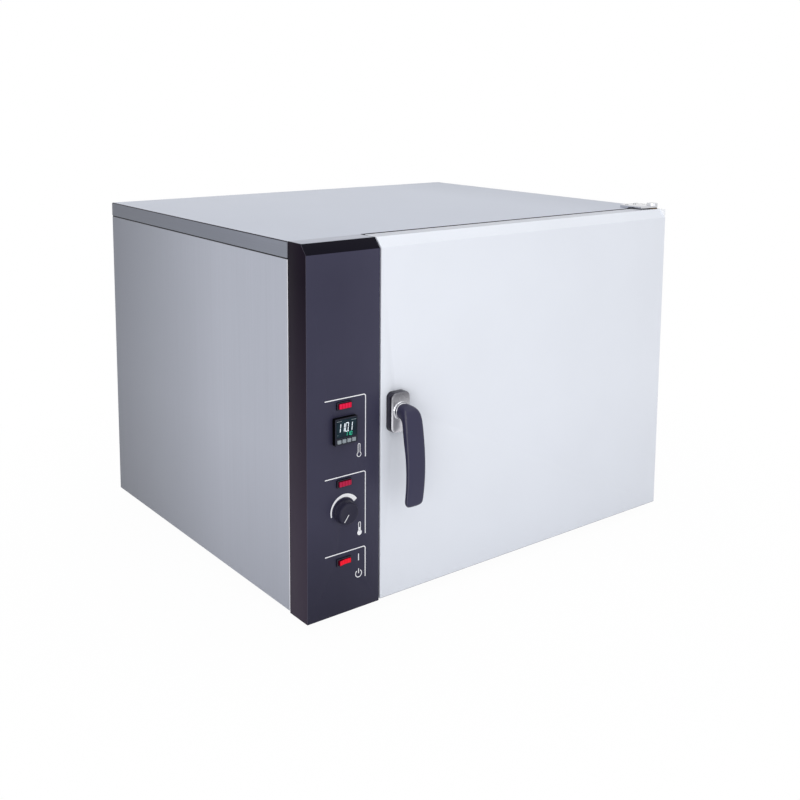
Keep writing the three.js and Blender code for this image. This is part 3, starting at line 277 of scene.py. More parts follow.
# Painted shade: darker copies of the black coat for the column's side and its top bevel, and a painted
# highlight for its front left fold
BLACK_SIDE = coated(
    "black_powder_coat_side_painted_shade", (60, 52, 66), 0.5, *BLACK_GRAIN, 2, fades=COLUMN_SIDE_FADES,
    Specular_IOR_Level=0.04,
)
BLACK_BEVEL = coated("black_powder_coat_bevel_painted_shade", (12, 10, 22), 0.5, *BLACK_GRAIN, 1, Specular_IOR_Level=0.05)
BLACK_HIGHLIGHT = coated("black_edge_painted_highlight", (92, 91, 104), 0.4, *BLACK_GRAIN, 2, Specular_IOR_Level=0.2)
DOOR_EDGE = coated("white_edge_shade", (150, 152, 160), 0.45, *WHITE_GRAIN, 2, Specular_IOR_Level=0.15)
DOOR_TOP = coated("white_top_shade", (200, 203, 212), 0.45, *WHITE_GRAIN, 2, Specular_IOR_Level=0.15)
DOOR_END_HIGHLIGHT = coated("white_corner_painted_highlight", (252, 253, 255), 0.4, *WHITE_GRAIN, 1, Specular_IOR_Level=0.3)
RIM = coated("rim_plastic", (46, 45, 58), 0.4, *PLASTIC_GRAIN, 2, Specular_IOR_Level=0.2)
# Painted highlight on the lever grip's front left edge
LEVER_HIGHLIGHT = coated("lever_edge_painted_highlight", (78, 77, 92), 0.4, 1500, 0.1, 2, Specular_IOR_Level=0.25)
BLACK_PLASTIC = coated("black_plastic", (16, 16, 20), 0.3, *PLASTIC_GRAIN, 2, Specular_IOR_Level=0.3)
BEZEL = coated("bezel_plastic", (34, 36, 50), 0.4, *PLASTIC_GRAIN, 2, Specular_IOR_Level=0.2)
SHADOW_BLACK = coated("shadow_black", (4, 4, 7), 0.6, *PLASTIC_GRAIN, 1, Specular_IOR_Level=0.05)
LEVER_BLACK = coated("lever_black", (52, 51, 76), 0.44, 1500, 0.1, 2, Specular_IOR_Level=0.25)
KNOB_BLACK = coated("knob_black", (38, 37, 55), 0.42, 1500, 0.08, 2, Specular_IOR_Level=0.2)
MOTOR = coated("motor_paint", (86, 90, 96), 0.5, 800, 0.1, 3, 0.2)
CERAMIC = coated("pale_moulding", (224, 218, 202), 0.5, 900, 0.1, 3)
RUBBER = coated("foot_rubber", (26, 26, 28), 0.75, 500, 0.3, 4)
SILICONE = coated("gasket_silicone", (150, 66, 48), 0.6, 400, 0.2, 7)
KEY_GREY = coated("grey_key", (138, 147, 154), 0.5, 1400, 0.08, 3)
ALUMINIUM = brushed("relay_aluminium", (182, 184, 188), 0.4, 0.9, "z", 0.1)
BRASS = brushed("turned_brass", (188, 164, 104), 0.3, 1.0, "x", 0.1, 6)
AGED_BRASS = brushed("aged_brass", (104, 84, 56), 0.5, 0.8, "z", 0.1, 6)
WOOL = fibrous("mineral_wool", (206, 192, 148))
PRINT = coated("panel_print", (248, 249, 254), 0.5, 1500, 0.05, 3)
LENS = lit_lens("red_lens", (166, 24, 62), (190, 30, 76), 0.1, 9)
LENS_LIT = lit_lens("red_lens_lit", (206, 14, 60), (255, 22, 76), 0.16, 10)
# Painted shade: a dark copy of the red for the sides of the lenses and the rocker
RED_SIDE_SHADE = lit_lens("red_lens_side_painted_shade", (84, 4, 24), (96, 0, 26), 0.1, 4)
ROCKER_RED = lit_lens("red_rocker", (218, 4, 36), (255, 8, 42), 0.24, 6)


def chrome_plate(name, colour, roughness=0.08, metallic=1, fade=None):
    """Bright plate with a faint waviness, and painted shade along its fade where one is given."""
    made = Finish(name, colour, roughness, metallic)
    waves = made.noise(34, detail=2)
    if fade:
        plain = made.tint(waves, colour, colour)
        made.link(made.faded(plain, colour, fade), "Base Color")
    made.link(made.span(waves, roughness - 0.03, roughness + 0.05), "Roughness")
    made.bump(waves, 0.04, 0.0006)
    return made.material


def display_glass():
    made = Finish("display_glass", (22, 40, 48), 0.2, 0, Specular_IOR_Level=0.08)
    glow = made.noise(60, detail=2)
    made.link(made.tint(made.span(glow, 0, 1), (20, 34, 44), (30, 52, 62)), "Base Color")
    return made.material


def glowing(name, colour, strength):
    made = Finish(name, colour, 0.4, Emission_Strength=strength)
    cells = made.noise(900, detail=1)
    made.link(made.tint(made.span(cells, 0, 1), shade(colour, -12), colour), "Base Color")
    made.link(made.tint(made.span(cells, 0, 1), shade(colour, -12), colour), "Emission Color")
    return made.material


CHROME = chrome_plate("chrome_plate", (206, 207, 212))
# Painted shade: the latch housing's front darkens towards its top, and its walls are a dark copy of the
# chrome
CHROME_FRONT = chrome_plate("chrome_front", (226, 226, 232), 0.24, 0.55, HOUSING_FADE)
CHROME_WALL_SHADE = coated("chrome_wall_painted_shade", (40, 38, 52), 0.25, 900, 0.04, 3, 0.4)
GLASS = display_glass()
DIGIT_WHITE = glowing("digit_white", (222, 232, 240), 0.6)
DIGIT_GREEN = glowing("digit_green", (40, 190, 150), 0.45)

# Mesh helpers

SHARP_ANGLE = 35  # degrees between two faces, from which their edge is sharp
FOLD_ANGLE = 0.1  # the same for the folds of sheet, in radians
FLAT_ANGLE = 0.6  # degrees under which two faces count as one
WELD = 1e-6  # metres
FOLD_SEGMENTS = 5


def piece(name, bm, body, material, smooth=SHARP_ANGLE, replaces=()):
    """Turns a bmesh in frame metres into a named piece that rides on a body."""
    bmesh.ops.recalc_face_normals(bm, faces=bm.faces)
    mesh = bpy.data.meshes.new(name)
    bm.to_mesh(mesh)
    bm.free()
    mesh.polygons.foreach_set("use_smooth", [True] * len(mesh.polygons))
    mesh.set_sharp_from_angle(angle=math.radians(smooth))
    made = bpy.data.objects.new(name, mesh)
    scene.collection.objects.link(made)
    made.data.materials.append(material)
    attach(made, body)
    if replaces:
        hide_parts(*replaces)
    return made


def loft(bm, rings):
    """Skins a row of equal rings of points and caps both ends."""
    rows = [[bm.verts.new(p) for p in ring] for ring in rings]
    count = len(rows[0])
    for a, b in zip(rows, rows[1:]):
        for i in range(count):
            j = (i + 1) % count
            bm.faces.new((a[i], a[j], b[j], b[i]))
    bm.faces.new(rows[0])
    bm.faces.new(rows[-1])


def rounded(cx, cz, width, high, radius, steps):
    """The outline of a rectangle with round corners, as (x, z) pairs."""
    points = []
    for turn, sx, sz in ((0, 1, 1), (1, -1, 1), (2, -1, -1), (3, 1, -1)):
        x, z = cx + sx * (width / 2 - radius), cz + sz * (high / 2 - radius)
        for i in range(steps + 1):
            a = math.pi / 2 * (turn + i / steps)
            points.append((x + radius * math.cos(a), z + radius * math.sin(a)))
    return points


def circle(cx, cz, radius, steps):
    return [
        (cx + radius * math.cos(2 * math.pi * i / steps), cz + radius * math.sin(2 * math.pi * i / steps))
        for i in range(steps)
    ]


def on_front(outline, y):
    return [at(x, y, z) for x, z in outline]


def lathe_y(bm, cx, cz, profile, steps):
    """Turns (radius, y) pairs about an axis along Y."""
    loft(bm, [on_front(circle(cx, cz, radius, steps), y) for radius, y in profile])


def lathe_z(bm, cx, cy, profile, steps):
    """Turns (radius, z) pairs about an axis along Z."""
    loft(bm, [[at(x, y, z) for x, y in circle(cx, cy, radius, steps)] for radius, z in profile])


def block(bm, x, y, z):
    """A box from pairs of limits in the part's millimetres."""
    ring = [(x[0], y[0]), (x[1], y[0]), (x[1], y[1]), (x[0], y[1])]
    loft(bm, [[at(u, v, level) for u, v in ring] for level in z])


def folds(bm, angle):
    """The edges where two faces meet at more than an angle, in radians."""
    return [e for e in bm.edges if len(e.link_faces) == 2 and e.calc_face_angle(0) > angle]


def bevel(bm, edges, width, segments):
    bmesh.ops.bevel(
        bm, geom=edges, offset=width * MM, segments=segments, profile=0.5, affect="EDGES", clamp_overlap=True
    )


def bevel_sharp(bm, width, segments=2):
    bevel(bm, folds(bm, math.radians(SHARP_ANGLE)), width, segments)


def paint(made, faces):
    """Gives some faces other materials; here these are painted shade and painted highlights, chosen by the
    way a face looks.
    faces holds (test, material) pairs, and a test is given the face's normal and its x in the part's
    millimetres."""
    for index, (test, other) in enumerate(faces, 1):
        made.data.materials.append(other)
        for polygon in made.data.polygons:
            if test(polygon.normal, part_mm(polygon.center)[0]):
                polygon.material_index = index


def finished(node, material, width, bends=(), segments=2, faces=(), cut=None):
    """A CAD node's shape with its folds rounded and its other sharp edges broken by a width. A bend is
    (test, radius), and its test is given both ends of an edge in the part's millimetres. Faces are for
    paint. A cut parts the faces at that x."""
    bm = bmesh.new()
    bm.from_mesh(nodes[node].data)
    bmesh.ops.remove_doubles(bm, verts=bm.verts, dist=WELD)
    bmesh.ops.dissolve_limit(bm, angle_limit=math.radians(FLAT_ANGLE), verts=bm.verts, edges=bm.edges)
    for test, radius in bends:
        edges = [e for e in folds(bm, FOLD_ANGLE) if test(*[part_mm(v.co) for v in e.verts])]
        bevel(bm, edges, radius, FOLD_SEGMENTS)
    bevel_sharp(bm, width, segments)
    if cut:
        whole = [*bm.verts, *bm.edges, *bm.faces]
        bmesh.ops.bisect_plane(bm, geom=whole, plane_co=at(cut, 0, 0), plane_no=(1, 0, 0))
    body = nodes[node]["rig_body"]
    paint(piece(f"{node}_finished", bm, body, material, replaces=(node,)), faces)


NEAR = 0.02  # millimetres


def near(value, target):
    return abs(value - target) < NEAR


def on_lines(*lines):
    """A test for edges whose ends both lie on one of the lines, each given as {axis: value}."""
    def test(a, b):
        return any(all(near(a[i], v) and near(b[i], v) for i, v in line.items()) for line in lines)
    return test


# The camera that took the photograph, and the studio

VIEW_AZIMUTH, VIEW_ELEVATION, VIEW_ROLL = -37.8044, 7.8845, 0.4007
VIEW_FROM = (-1420.85, -1531.92, 944)
SENSOR, FOCAL, LENS_SHIFT = 36, 47.948, -0.20625
CLIP = (0.05, 60)


def make_camera():
    """Its lens is shifted because the photograph's uprights are nearly parallel."""
    a, e, r = (math.radians(v) for v in (VIEW_AZIMUTH, VIEW_ELEVATION, VIEW_ROLL))
    back = Vector((math.sin(a) * math.cos(e), -math.cos(a) * math.cos(e), math.sin(e)))
    right = (-back).cross(Vector((0, 0, 1))).normalized()
    up = right.cross(-back)
    across = right * math.cos(r) + up * math.sin(r)
    upward = up * math.cos(r) - right * math.sin(r)
    data = bpy.data.cameras.new("photo_camera")
    data.sensor_width, data.lens = SENSOR, FOCAL
    data.shift_y = LENS_SHIFT
    data.clip_start, data.clip_end = CLIP
    camera = bpy.data.objects.new("photo_camera", data)
    turn = Matrix((across, upward, back)).transposed().to_4x4()
    camera.matrix_world = Matrix.Translation(at(*VIEW_FROM)) @ turn
    scene.collection.objects.link(camera)
    scene.camera = camera


AMBIENT, BACKDROP = 0.55, 1.0  # the world's strength as light, and as the background that is seen
FLOOR_REACH, FLOOR_DROP = 12, -0.0002
FLOOR_LIT, FLOOR_WHITE = 0.5, 1.2  # how far from the middle the floor's shading fades into the backdrop
FLOOR_SHARE = 0.97  # how much of the backdrop's white the floor has in the middle
LAMPS = (
    # name, place, aim, size, power
    ("front_softbox", (-1.3, -3.4, 1.7), (0, 0, 0.35), (5.6, 4.2), 42),
    ("side_softbox", (-3.0, -2.2, 0.9), (-0.475, -0.1, 0.35), (1.6, 1.6), 18),
    ("top_softbox", (0.3, 0.2, 3.4), (0, 0, 0.4), (3.0, 3.0), 34),
)


def area_light(name, where, aim, size, power):
    data = bpy.data.lights.new(name, "AREA")
    data.shape, data.size, data.size_y = "RECTANGLE", *size
    data.energy = power
    lamp = bpy.data.objects.new(name, data)
    lamp.location = where
    lamp.rotation_euler = (Vector(aim) - Vector(where)).to_track_quat("-Z", "Y").to_euler()
    scene.collection.objects.link(lamp)


def shown_ray(tree):
    """One for camera, mirror and glass rays, which see the white background, and zero for light."""
    path = tree.nodes.new("ShaderNodeLightPath")
    total = path.outputs["Is Camera Ray"]
    for name in ("Is Glossy Ray", "Is Transmission Ray"):
        most = tree.nodes.new("ShaderNodeMath")
        most.operation = "MAXIMUM"
        tree.links.new(total, most.inputs[0])
        tree.links.new(path.outputs[name], most.inputs[1])
        total = most.outputs[0]
    return total


def make_world():
    world = bpy.data.worlds.new("studio")
    scene.world = world
    world.use_nodes = True
    tree = world.node_tree
    strength = tree.nodes.new("ShaderNodeMapRange")
    tree.links.new(shown_ray(tree), strength.inputs["Value"])
    strength.inputs["To Min"].default_value = AMBIENT
    strength.inputs["To Max"].default_value = BACKDROP
    tree.nodes["Background"].inputs["Color"].default_value = (1, 1, 1, 1)
    tree.links.new(strength.outputs["Result"], tree.nodes["Background"].inputs["Strength"])


def floor_material():
    """Pale where it catches the part's shadow, and as white as the backdrop further out."""
    pale = Finish("pale_floor", (246, 246, 248), 0.9)
    tree = pale.tree
    white = tree.nodes.new("ShaderNodeEmission")
    mix = tree.nodes.new("ShaderNodeMixShader")
    place = pale.node("ShaderNodeTexCoord")
    away = tree.nodes.new("ShaderNodeVectorMath")
    away.operation = "LENGTH"
    tree.links.new(place.outputs["Object"], away.inputs[0])
    fade = pale.span(away.outputs["Value"], FLOOR_SHARE, 1, FLOOR_LIT, FLOOR_WHITE)
    seen = tree.nodes.new("ShaderNodeMath")
    seen.operation = "MULTIPLY"
    tree.links.new(fade, seen.inputs[0])
    tree.links.new(shown_ray(tree), seen.inputs[1])
    tree.links.new(seen.outputs[0], mix.inputs[0])
    tree.links.new(pale.shader.outputs[0], mix.inputs[1])
    tree.links.new(white.outputs[0], mix.inputs[2])
    tree.links.new(mix.outputs[0], tree.nodes["Material Output"].inputs["Surface"])
    return pale.material


def make_floor():
    bm = bmesh.new()
    signs = ((-1, -1), (1, -1), (1, 1), (-1, 1))
    bm.faces.new([bm.verts.new((x * FLOOR_REACH, y * FLOOR_REACH, 0)) for x, y in signs])
    mesh = bpy.data.meshes.new("studio_floor")
    bm.to_mesh(mesh)
    bm.free()
    floor = bpy.data.objects.new("studio_floor", mesh)
    floor.location.z = FLOOR_DROP
    scene.collection.objects.link(floor)
    floor.data.materials.append(floor_material())


make_camera()
make_world()
make_floor()
for lamp in LAMPS:
    area_light(*lamp)

# Casing. The numbers in a face's test are parts of its normal: 1 faces straight along an axis

LID_FOLD, SIDE_FOLD = 2.4, 1.4
# Where the strips of painted shade lie in the seam under the lid's lips
SEAM_SHADE_X = {"left": (CASE_LEFT + 0.5, CASE_LEFT + 2.4), "right": (CASE_RIGHT - 2.4, CASE_RIGHT - 0.5)}
SEAM_SHADE_Y, SEAM_SHADE_Z = (2, CASE_BACK - 2), (652.7, 654.8)
STRIP_X, STRIP_Y, STRIP_Z = (CASE_LEFT + 5, CASE_RIGHT - 5), (0.3, 1.6), (652, 666.4)

ends = [{0: x, 2: TOP} for x in (CASE_LEFT, CASE_RIGHT)]
top_edges = on_lines(*ends, *[{1: y, 2: TOP} for y in (0, CASE_BACK)])
# Painted shade on the lid: darker copies of its steel on its sides, rear and front, and dark shade on its
# left fold and on its front fold right of the column
lid_faces = [
    (lambda n, x: abs(n.x) > 0.7 or n.y > 0.7, STEEL_LIP),
    (lambda n, x: n.y < -0.9, STEEL_FRONT),
    (lambda n, x: -0.92 < n.x < -0.3, STEEL_EDGE),
    (lambda n, x: -0.99 < n.y < -0.05 and x > COLUMN[1], STEEL_EDGE),
]
finished("lid", STEEL_LID, 0.25, [(top_edges, LID_FOLD)], cut=COLUMN[1], faces=lid_faces)
uprights = on_lines(*[{0: x, 1: y} for x in (CASE_LEFT, CASE_RIGHT) for y in (0, CASE_BACK)])
side_folds = [(uprights, SIDE_FOLD)]
# Painted highlight on the side panels' front folds
side_faces = [(lambda n, x: -0.97 < n.y < -0.2, STEEL_HIGHLIGHT)]
for side in ("left", "right"):
    finished(f"{side}_side_panel", STEEL_SIDE, 0.25, side_folds, faces=side_faces)
finished("rear_panel", STEEL_SIDE, 0.2)


def lid_seam_shades():
    """Dark rubber strips in the joggle between the lid's lips and the side sheets: painted shade for that
    seam.
    """
    for side, x in SEAM_SHADE_X.items():
        bm = bmesh.new()
        block(bm, x, SEAM_SHADE_Y, SEAM_SHADE_Z)
        piece(f"lid_seam_shade_{side}", bm, "casing", RUBBER)


def closing_strip():
    """The strip of sheet between the front bulkhead and the lid's front lip."""
    bm = bmesh.new()
    block(bm, STRIP_X, STRIP_Y, STRIP_Z)
    bevel_sharp(bm, 0.2)
    piece("front_closing_strip", bm, "casing", STEEL_FRONT)


lid_seam_shades()
closing_strip()
finished("base_pan", GALVANISED, 0.25)
finished("front_bulkhead", STEEL_FRONT, 0.25)

# Column and door

COLUMN_FOLD, DOOR_FOLD = 0.5, 1.3
END_PLATE_X = (DOOR[1] - 2.3, DOOR[1] - 0.9)

front_lines = [{1: FACE, 2: BEVEL_Z}, {1: BEVEL_Y, 2: TOP}]


def front_folds(limits, bottom, radius):
    upright = [{0: x, 1: FACE} for x in limits]
    slanted = [on_slant(x) for x in limits]
    lines = on_lines(*front_lines, *upright, {1: FACE, 2: bottom}, *[{0: x, 2: TOP} for x in limits])
    return [(lambda a, b: lines(a, b) or any(test(a, b) for test in slanted), radius)]


def on_slant(x):
    """A test for the sloping edge of the folded top at one end."""
    def test(a, b):
        ends = sorted((a, b), key=lambda p: p[2])
        return (
            near(a[0], x) and near(b[0], x) and near(ends[0][1], FACE) and near(ends[0][2], BEVEL_Z)
            and near(ends[1][1], BEVEL_Y) and near(ends[1][2], TOP)
        )
    return test


column_folds = front_folds(COLUMN, COLUMN_BOTTOM, COLUMN_FOLD)
# The column's side and bevel are painted as shade, its front left fold as a highlight
finished("column_fascia", BLACK, 0.2, column_folds, faces=[
    (lambda n, x: n.x < -0.75, BLACK_SIDE),
    (lambda n, x: n.z > 0.3, BLACK_BEVEL),
    (lambda n, x: -0.75 <= n.x < -0.3 and n.y < -0.3, BLACK_HIGHLIGHT),
])
finished("column_cap", STEEL_CAP, 0.3)
door_folds = front_folds(DOOR, DOOR_BOTTOM, DOOR_FOLD)
# Painted shade on the door's bottom fold and top face
finished("door_skin", WHITE, 0.2, door_folds, faces=[
    (lambda n, x: n.z < -0.15, DOOR_EDGE),
    (lambda n, x: n.z > 0.9, DOOR_TOP),
])
finished("door_inner_panel", STAINLESS_SATIN, 0.3)


def door_end_plate():
    """The plate that squares off the door's bevel at its right end, painted whiter than the door as a painted
    highlight.
    """
    bm = bmesh.new()
    corners = [(FACE + 0.1, BEVEL_Z - 0.3), (BEVEL_Y + 0.3, TOP - 0.1), (FACE + 0.1, TOP - 0.1)]
    loft(bm, [[at(x, y, z) for y, z in corners] for x in END_PLATE_X])
    bevel_sharp(bm, 0.2)
    piece("door_end_plate", bm, "door", DOOR_END_HIGHLIGHT)


door_end_plate()

# Feet, with a rounded tread

FOOT_X, FOOT_Y = {"left": -400, "right": 400}, {"front": 70, "rear": 672}
FOOT_PROFILE = [
    # radius, z
    (19, 0), (20.4, 0.5), (21, 1.8), (20.4, 3.2), (17.6, 17.6), (17.2, 19.2),
    (4, 19.5), (4, 28.2), (3.4, 28.5),
]


def foot(name, x, y):
    bm = bmesh.new()
    lathe_z(bm, x, y, FOOT_PROFILE, 36)
    piece(f"{name}_turned", bm, "casing", RUBBER, replaces=(name,))


for depth, y in FOOT_Y.items():
    for side, x in FOOT_X.items():
        foot(f"foot_{depth}_{side}", x, y)

# Print on the control panel: section lines, pictograms and the scale round the knob

INK = (FACE - 0.14, FACE - 0.02)  # its front and its back
SECTION_LEFT, SECTION_RIGHT, SECTION_CORNER = -437.5, -351, 4
LINE_WIDTH, ICON_WIDTH, MARK_WIDTH, COLUMN_WIDTH = 1.7, 1.15, 1.5, 2.4
BULB, STEM, THERMOMETER_HIGH = 4.3, 2.1, 24
SCALE_START, SCALE_END, SCALE_RADIUS, SCALE_THIN, SCALE_THICK = 194, 30, 25.2, 2.4, 8
ON_MARK = [(-365.6, 103.8), (-365.6, 116.6)]
STANDBY_X, STANDBY_Z, STANDBY_RADIUS = -365.5, 79, 6.6
STANDBY_BAR = [(-365.5, 79.5), (-365.5, 88.6)]


def ribbon(bm, points, width, depths=INK):
    """A flat line along (x, z) points, between two depths. Its width is one number, or one per point."""
    y0, y1 = depths
    left, right = [], []
    for i, (x, z) in enumerate(points):
        before, after = points[max(i - 1, 0)], points[min(i + 1, len(points) - 1)]
        dx, dz = after[0] - before[0], after[1] - before[1]
        length = math.hypot(dx, dz)
        half = width[i] / 2 if isinstance(width, list) else width / 2
        left.append((x - dz / length * half, z + dx / length * half))
        right.append((x + dz / length * half, z - dx / length * half))
    rings = [
        [at(a[0], y1, a[1]), at(b[0], y1, b[1]), at(b[0], y0, b[1]), at(a[0], y0, a[1])]
        for a, b in zip(left, right)
    ]
    loft(bm, rings)


def arc(cx, cz, radius, start, end, steps):
    """Points along an arc, as (x, z) pairs. Its angles are in degrees."""
    return [
        (cx + radius * math.cos(math.radians(start + (end - start) * i / steps)),
         cz + radius * math.sin(math.radians(start + (end - start) * i / steps)))
        for i in range(steps + 1)
    ]


def section_line(name, z, low):
    bm = bmesh.new()
    corner = arc(SECTION_RIGHT - SECTION_CORNER, z - SECTION_CORNER, SECTION_CORNER, 90, 0, 8)
    ribbon(bm, [(SECTION_LEFT, z), *corner, (SECTION_RIGHT, low)], LINE_WIDTH)
    piece(name, bm, "casing", PRINT)


section_line("heating_section_line", 409, 294.5)
section_line("safety_section_line", 268.3, 151.4)
section_line("power_section_line", 127.6, 70)


def thermometer(name, x, z, filled):
    bm = bmesh.new()
    opening = math.degrees(math.asin(STEM / BULB))
    round_bulb = arc(x, z + BULB, BULB, 90 + opening, 450 - opening, 24)
    cap = arc(x, z + THERMOMETER_HIGH - STEM, STEM, 0, 180, 8)
    ribbon(bm, [*round_bulb, *cap, round_bulb[0]], ICON_WIDTH)
    if filled:
        loft(bm, [on_front(circle(x, z + BULB, BULB - 0.4, 24), y) for y in reversed(INK)])
        ribbon(bm, [(x, z + BULB * 1.7), (x, z + THERMOMETER_HIGH * 0.6)], COLUMN_WIDTH)
    piece(name, bm, "casing", PRINT)


thermometer("heating_pictogram", -364.8, 297, False)
thermometer("safety_pictogram", -363.5, 151.5, True)


def knob_scale():
    """A wedge bent round the knob, which widens clockwise."""
    bm = bmesh.new()
    steps = 40
    widths = [SCALE_THIN + (SCALE_THICK - SCALE_THIN) * (i / steps) ** 1.3 for i in range(steps + 1)]
    points = []
    for i, width in enumerate(widths):
        turn = math.radians(SCALE_START + (SCALE_END - SCALE_START) * i / steps)
        radius = SCALE_RADIUS + width / 2
        points.append((KNOB_X + radius * math.cos(turn), KNOB_Z + radius * math.sin(turn)))
    ribbon(bm, points, widths)
    piece("knob_scale", bm, "casing", PRINT)


def power_marks():
    bm = bmesh.new()
    ribbon(bm, ON_MARK, LINE_WIDTH)
    piece("on_mark", bm, "casing", PRINT)
    bm = bmesh.new()
    ribbon(bm, arc(STANDBY_X, STANDBY_Z, STANDBY_RADIUS, 122, 418, 32), MARK_WIDTH)
    ribbon(bm, STANDBY_BAR, MARK_WIDTH)
    piece("standby_mark", bm, "casing", PRINT)


knob_scale()
power_marks()

# Panel controller: the digits behind its window

SEGMENTS = {"0": "abcdef", "1": "bc"}
DIGIT_LEAN, SEGMENT_GAP = 0.1, 0.3
DISPLAY_Y = FACE - 9
GLYPH = (DISPLAY_Y - 0.1, DISPLAY_Y + 0.02)  # the front and back of what the display shows
DISPLAY_MARKS = ((-418.6, 372, 10.4), (-387.6, 371.2, 10.2), (-417.2, 347.6, 2))  # x, z, length
DISPLAY_MARK_WIDTH = 0.7


def digit(bm, text, x, z, width, high, stroke):
    """A seven-segment figure with its lower left corner at x, z, leaning to the right."""
    gap = stroke * SEGMENT_GAP
    half = high / 2
    lines = {
        "a": ((gap, high), (width - gap, high)), "b": ((width, high - gap), (width, half + gap)),
        "c": ((width, half - gap), (width, gap)), "d": ((gap, 0), (width - gap, 0)),
        "e": ((0, gap), (0, half - gap)), "f": ((0, half + gap), (0, high - gap)),
        "g": ((gap, half), (width - gap, half)),
    }
    for key in SEGMENTS[text]:
        ends = [(x + u + v * DIGIT_LEAN, z + v) for u, v in lines[key]]
        ribbon(bm, ends, stroke, GLYPH)


def readout(name, text, x, z, width, high, stroke, pitch, material):
    bm = bmesh.new()
    for place, letter in enumerate(text.replace(".", "")):
        digit(bm, letter, x + place * pitch, z, width, high, stroke)
    if "." in text:
        dot = x + text.index(".") * pitch - (pitch - width) / 2
        ribbon(bm, [(dot, z - stroke / 2), (dot, z + stroke / 2)], stroke, GLYPH)
    piece(name, bm, "casing", material)


readout("temperature_digits", "110.1", -417, 352.4, 5.6, 15, 1.25, 8.2, DIGIT_WHITE)
readout("setpoint_digits", "110", -400, 344.3, 3.2, 6.3, 1, 5, DIGIT_GREEN)


def display_marks():
    bm = bmesh.new()
    for x, z, length in DISPLAY_MARKS:
        ribbon(bm, [(x, z), (x + length, z)], DISPLAY_MARK_WIDTH, GLYPH)
    piece("display_marks", bm, "casing", KEY_GREY)


display_marks()
# Painted shade: the sides of the cases, rims, lenses and rocker are darker than their fronts
rim_sides = [(lambda n, x: n.y > -0.7, SHADOW_BLACK)]
lens_sides = [(lambda n, x: n.y > -0.75, RED_SIDE_SHADE)]
rocker_sides = [(lambda n, x: n.y > -0.8, RED_SIDE_SHADE)]
finished("controller_case", BEZEL, 0.25, faces=rim_sides)
for lamp, red in (("heating", LENS_LIT), ("safety", LENS)):
    finished(f"{lamp}_lamp_body", RIM, 0.4, faces=rim_sides)
    finished(f"{lamp}_lamp_lens", red, 0.2, faces=lens_sides)
finished("power_switch_frame", RIM, 0.4, faces=rim_sides)
finished("power_switch_rocker", ROCKER_RED, 0.5, segments=3, faces=rocker_sides)
for i in (1, 2, 3, 4):
    finished(f"controller_key_{i}", KEY_GREY, 0.3)

# Safety thermostat knob: a ribbed skirt and a dished face with its pointer

KNOB_BASE = FACE - 1
KNOB_PROFILE = [
    # radius, rise, how much of the ribs' depth
    (20.8, 0, 0), (21.5, 0.8, 0), (21.5, 2.6, 0), (21, 3.4, 0.6), (20.1, 14.2, 1), (19.8, 15.4, 0.7),
    (18.8, 16.6, 0), (17.6, 17, 0), (16.9, 16.8, 0), (16.2, 16.5, 0), (2, 16.4, 0),
]
KNOB_RIBS, RIB_DEPTH, KNOB_SMOOTH = 40, 0.35, 28
POINTER_ANGLE, POINTER_RADII, POINTER_WIDTH = 233, (1.5, 17), 1
POINTER_Y = (KNOB_BASE - 17.1, KNOB_BASE - 16.3)


def thermostat_knob():
    bm = bmesh.new()
    steps = KNOB_RIBS * 6
    rings = []
    for radius, rise, ribbed in KNOB_PROFILE:
        ring = []
        for i in range(steps):
            turn = 2 * math.pi * i / steps
            r = radius - RIB_DEPTH * ribbed * (1 - abs(math.sin(turn * KNOB_RIBS / 2)))
            ring.append(at(KNOB_X + r * math.cos(turn), KNOB_BASE - rise, KNOB_Z + r * math.sin(turn)))
        rings.append(ring)
    loft(bm, rings)
    piece(
        "safety_knob_turned", bm, "safety_knob", KNOB_BLACK, KNOB_SMOOTH, replaces=("thermostat_knob",),
    )
    bm = bmesh.new()
    turn = math.radians(POINTER_ANGLE)
    ends = [(KNOB_X + r * math.cos(turn), KNOB_Z + r * math.sin(turn)) for r in POINTER_RADII]
    ribbon(bm, ends, POINTER_WIDTH, POINTER_Y)
    piece("safety_knob_pointer", bm, "safety_knob", PRINT)


thermostat_knob()

# Latch: housing, collar and lever

HOUSING_X, HOUSING_Z = LATCH_X + 1, LATCH_Z - 4
HOUSING_WIDTH, HOUSING_HEIGHT, HOUSING_CORNER = 42, 74, 11
HOUSING_BASE = FACE - 0.3
HOUSING_PROFILE = [(0, 0), (0, 12.6), (0.35, 14.4), (1.2, 15.9), (2.5, 16.7), (4.2, 17)]  # inset, rise
COLLAR_BASE = HOUSING_BASE - 17
COLLAR_PROFILE = [
    # radius, rise
    (16.8, -0.2), (16.2, 0.5), (15.3, 1.3), (15, 2.4), (15, 4.8), (14.6, 5.6), (13.8, 6),
]
CHROME_SMOOTH, GRIP_SMOOTH = 40, 50


def latch_housing():
    """A chromed boss with straight walls and a rounded shoulder. Its walls are painted dark as shade, and its
    front has painted shade that darkens towards the top.
    """
    rings = []
    for inset, rise in HOUSING_PROFILE:
        width, height = HOUSING_WIDTH - inset * 2, HOUSING_HEIGHT - inset * 2
        outline = rounded(HOUSING_X, HOUSING_Z, width, height, HOUSING_CORNER - inset, 10)
        rings.append(on_front(outline, HOUSING_BASE - rise))
    bm = bmesh.new()
    loft(bm, rings)
    plate = piece(
        "latch_housing_plate", bm, "door", CHROME_FRONT, CHROME_SMOOTH, replaces=("latch_housing",),
    )
    paint(plate, [(lambda n, x: n.y > -0.3, CHROME_WALL_SHADE)])


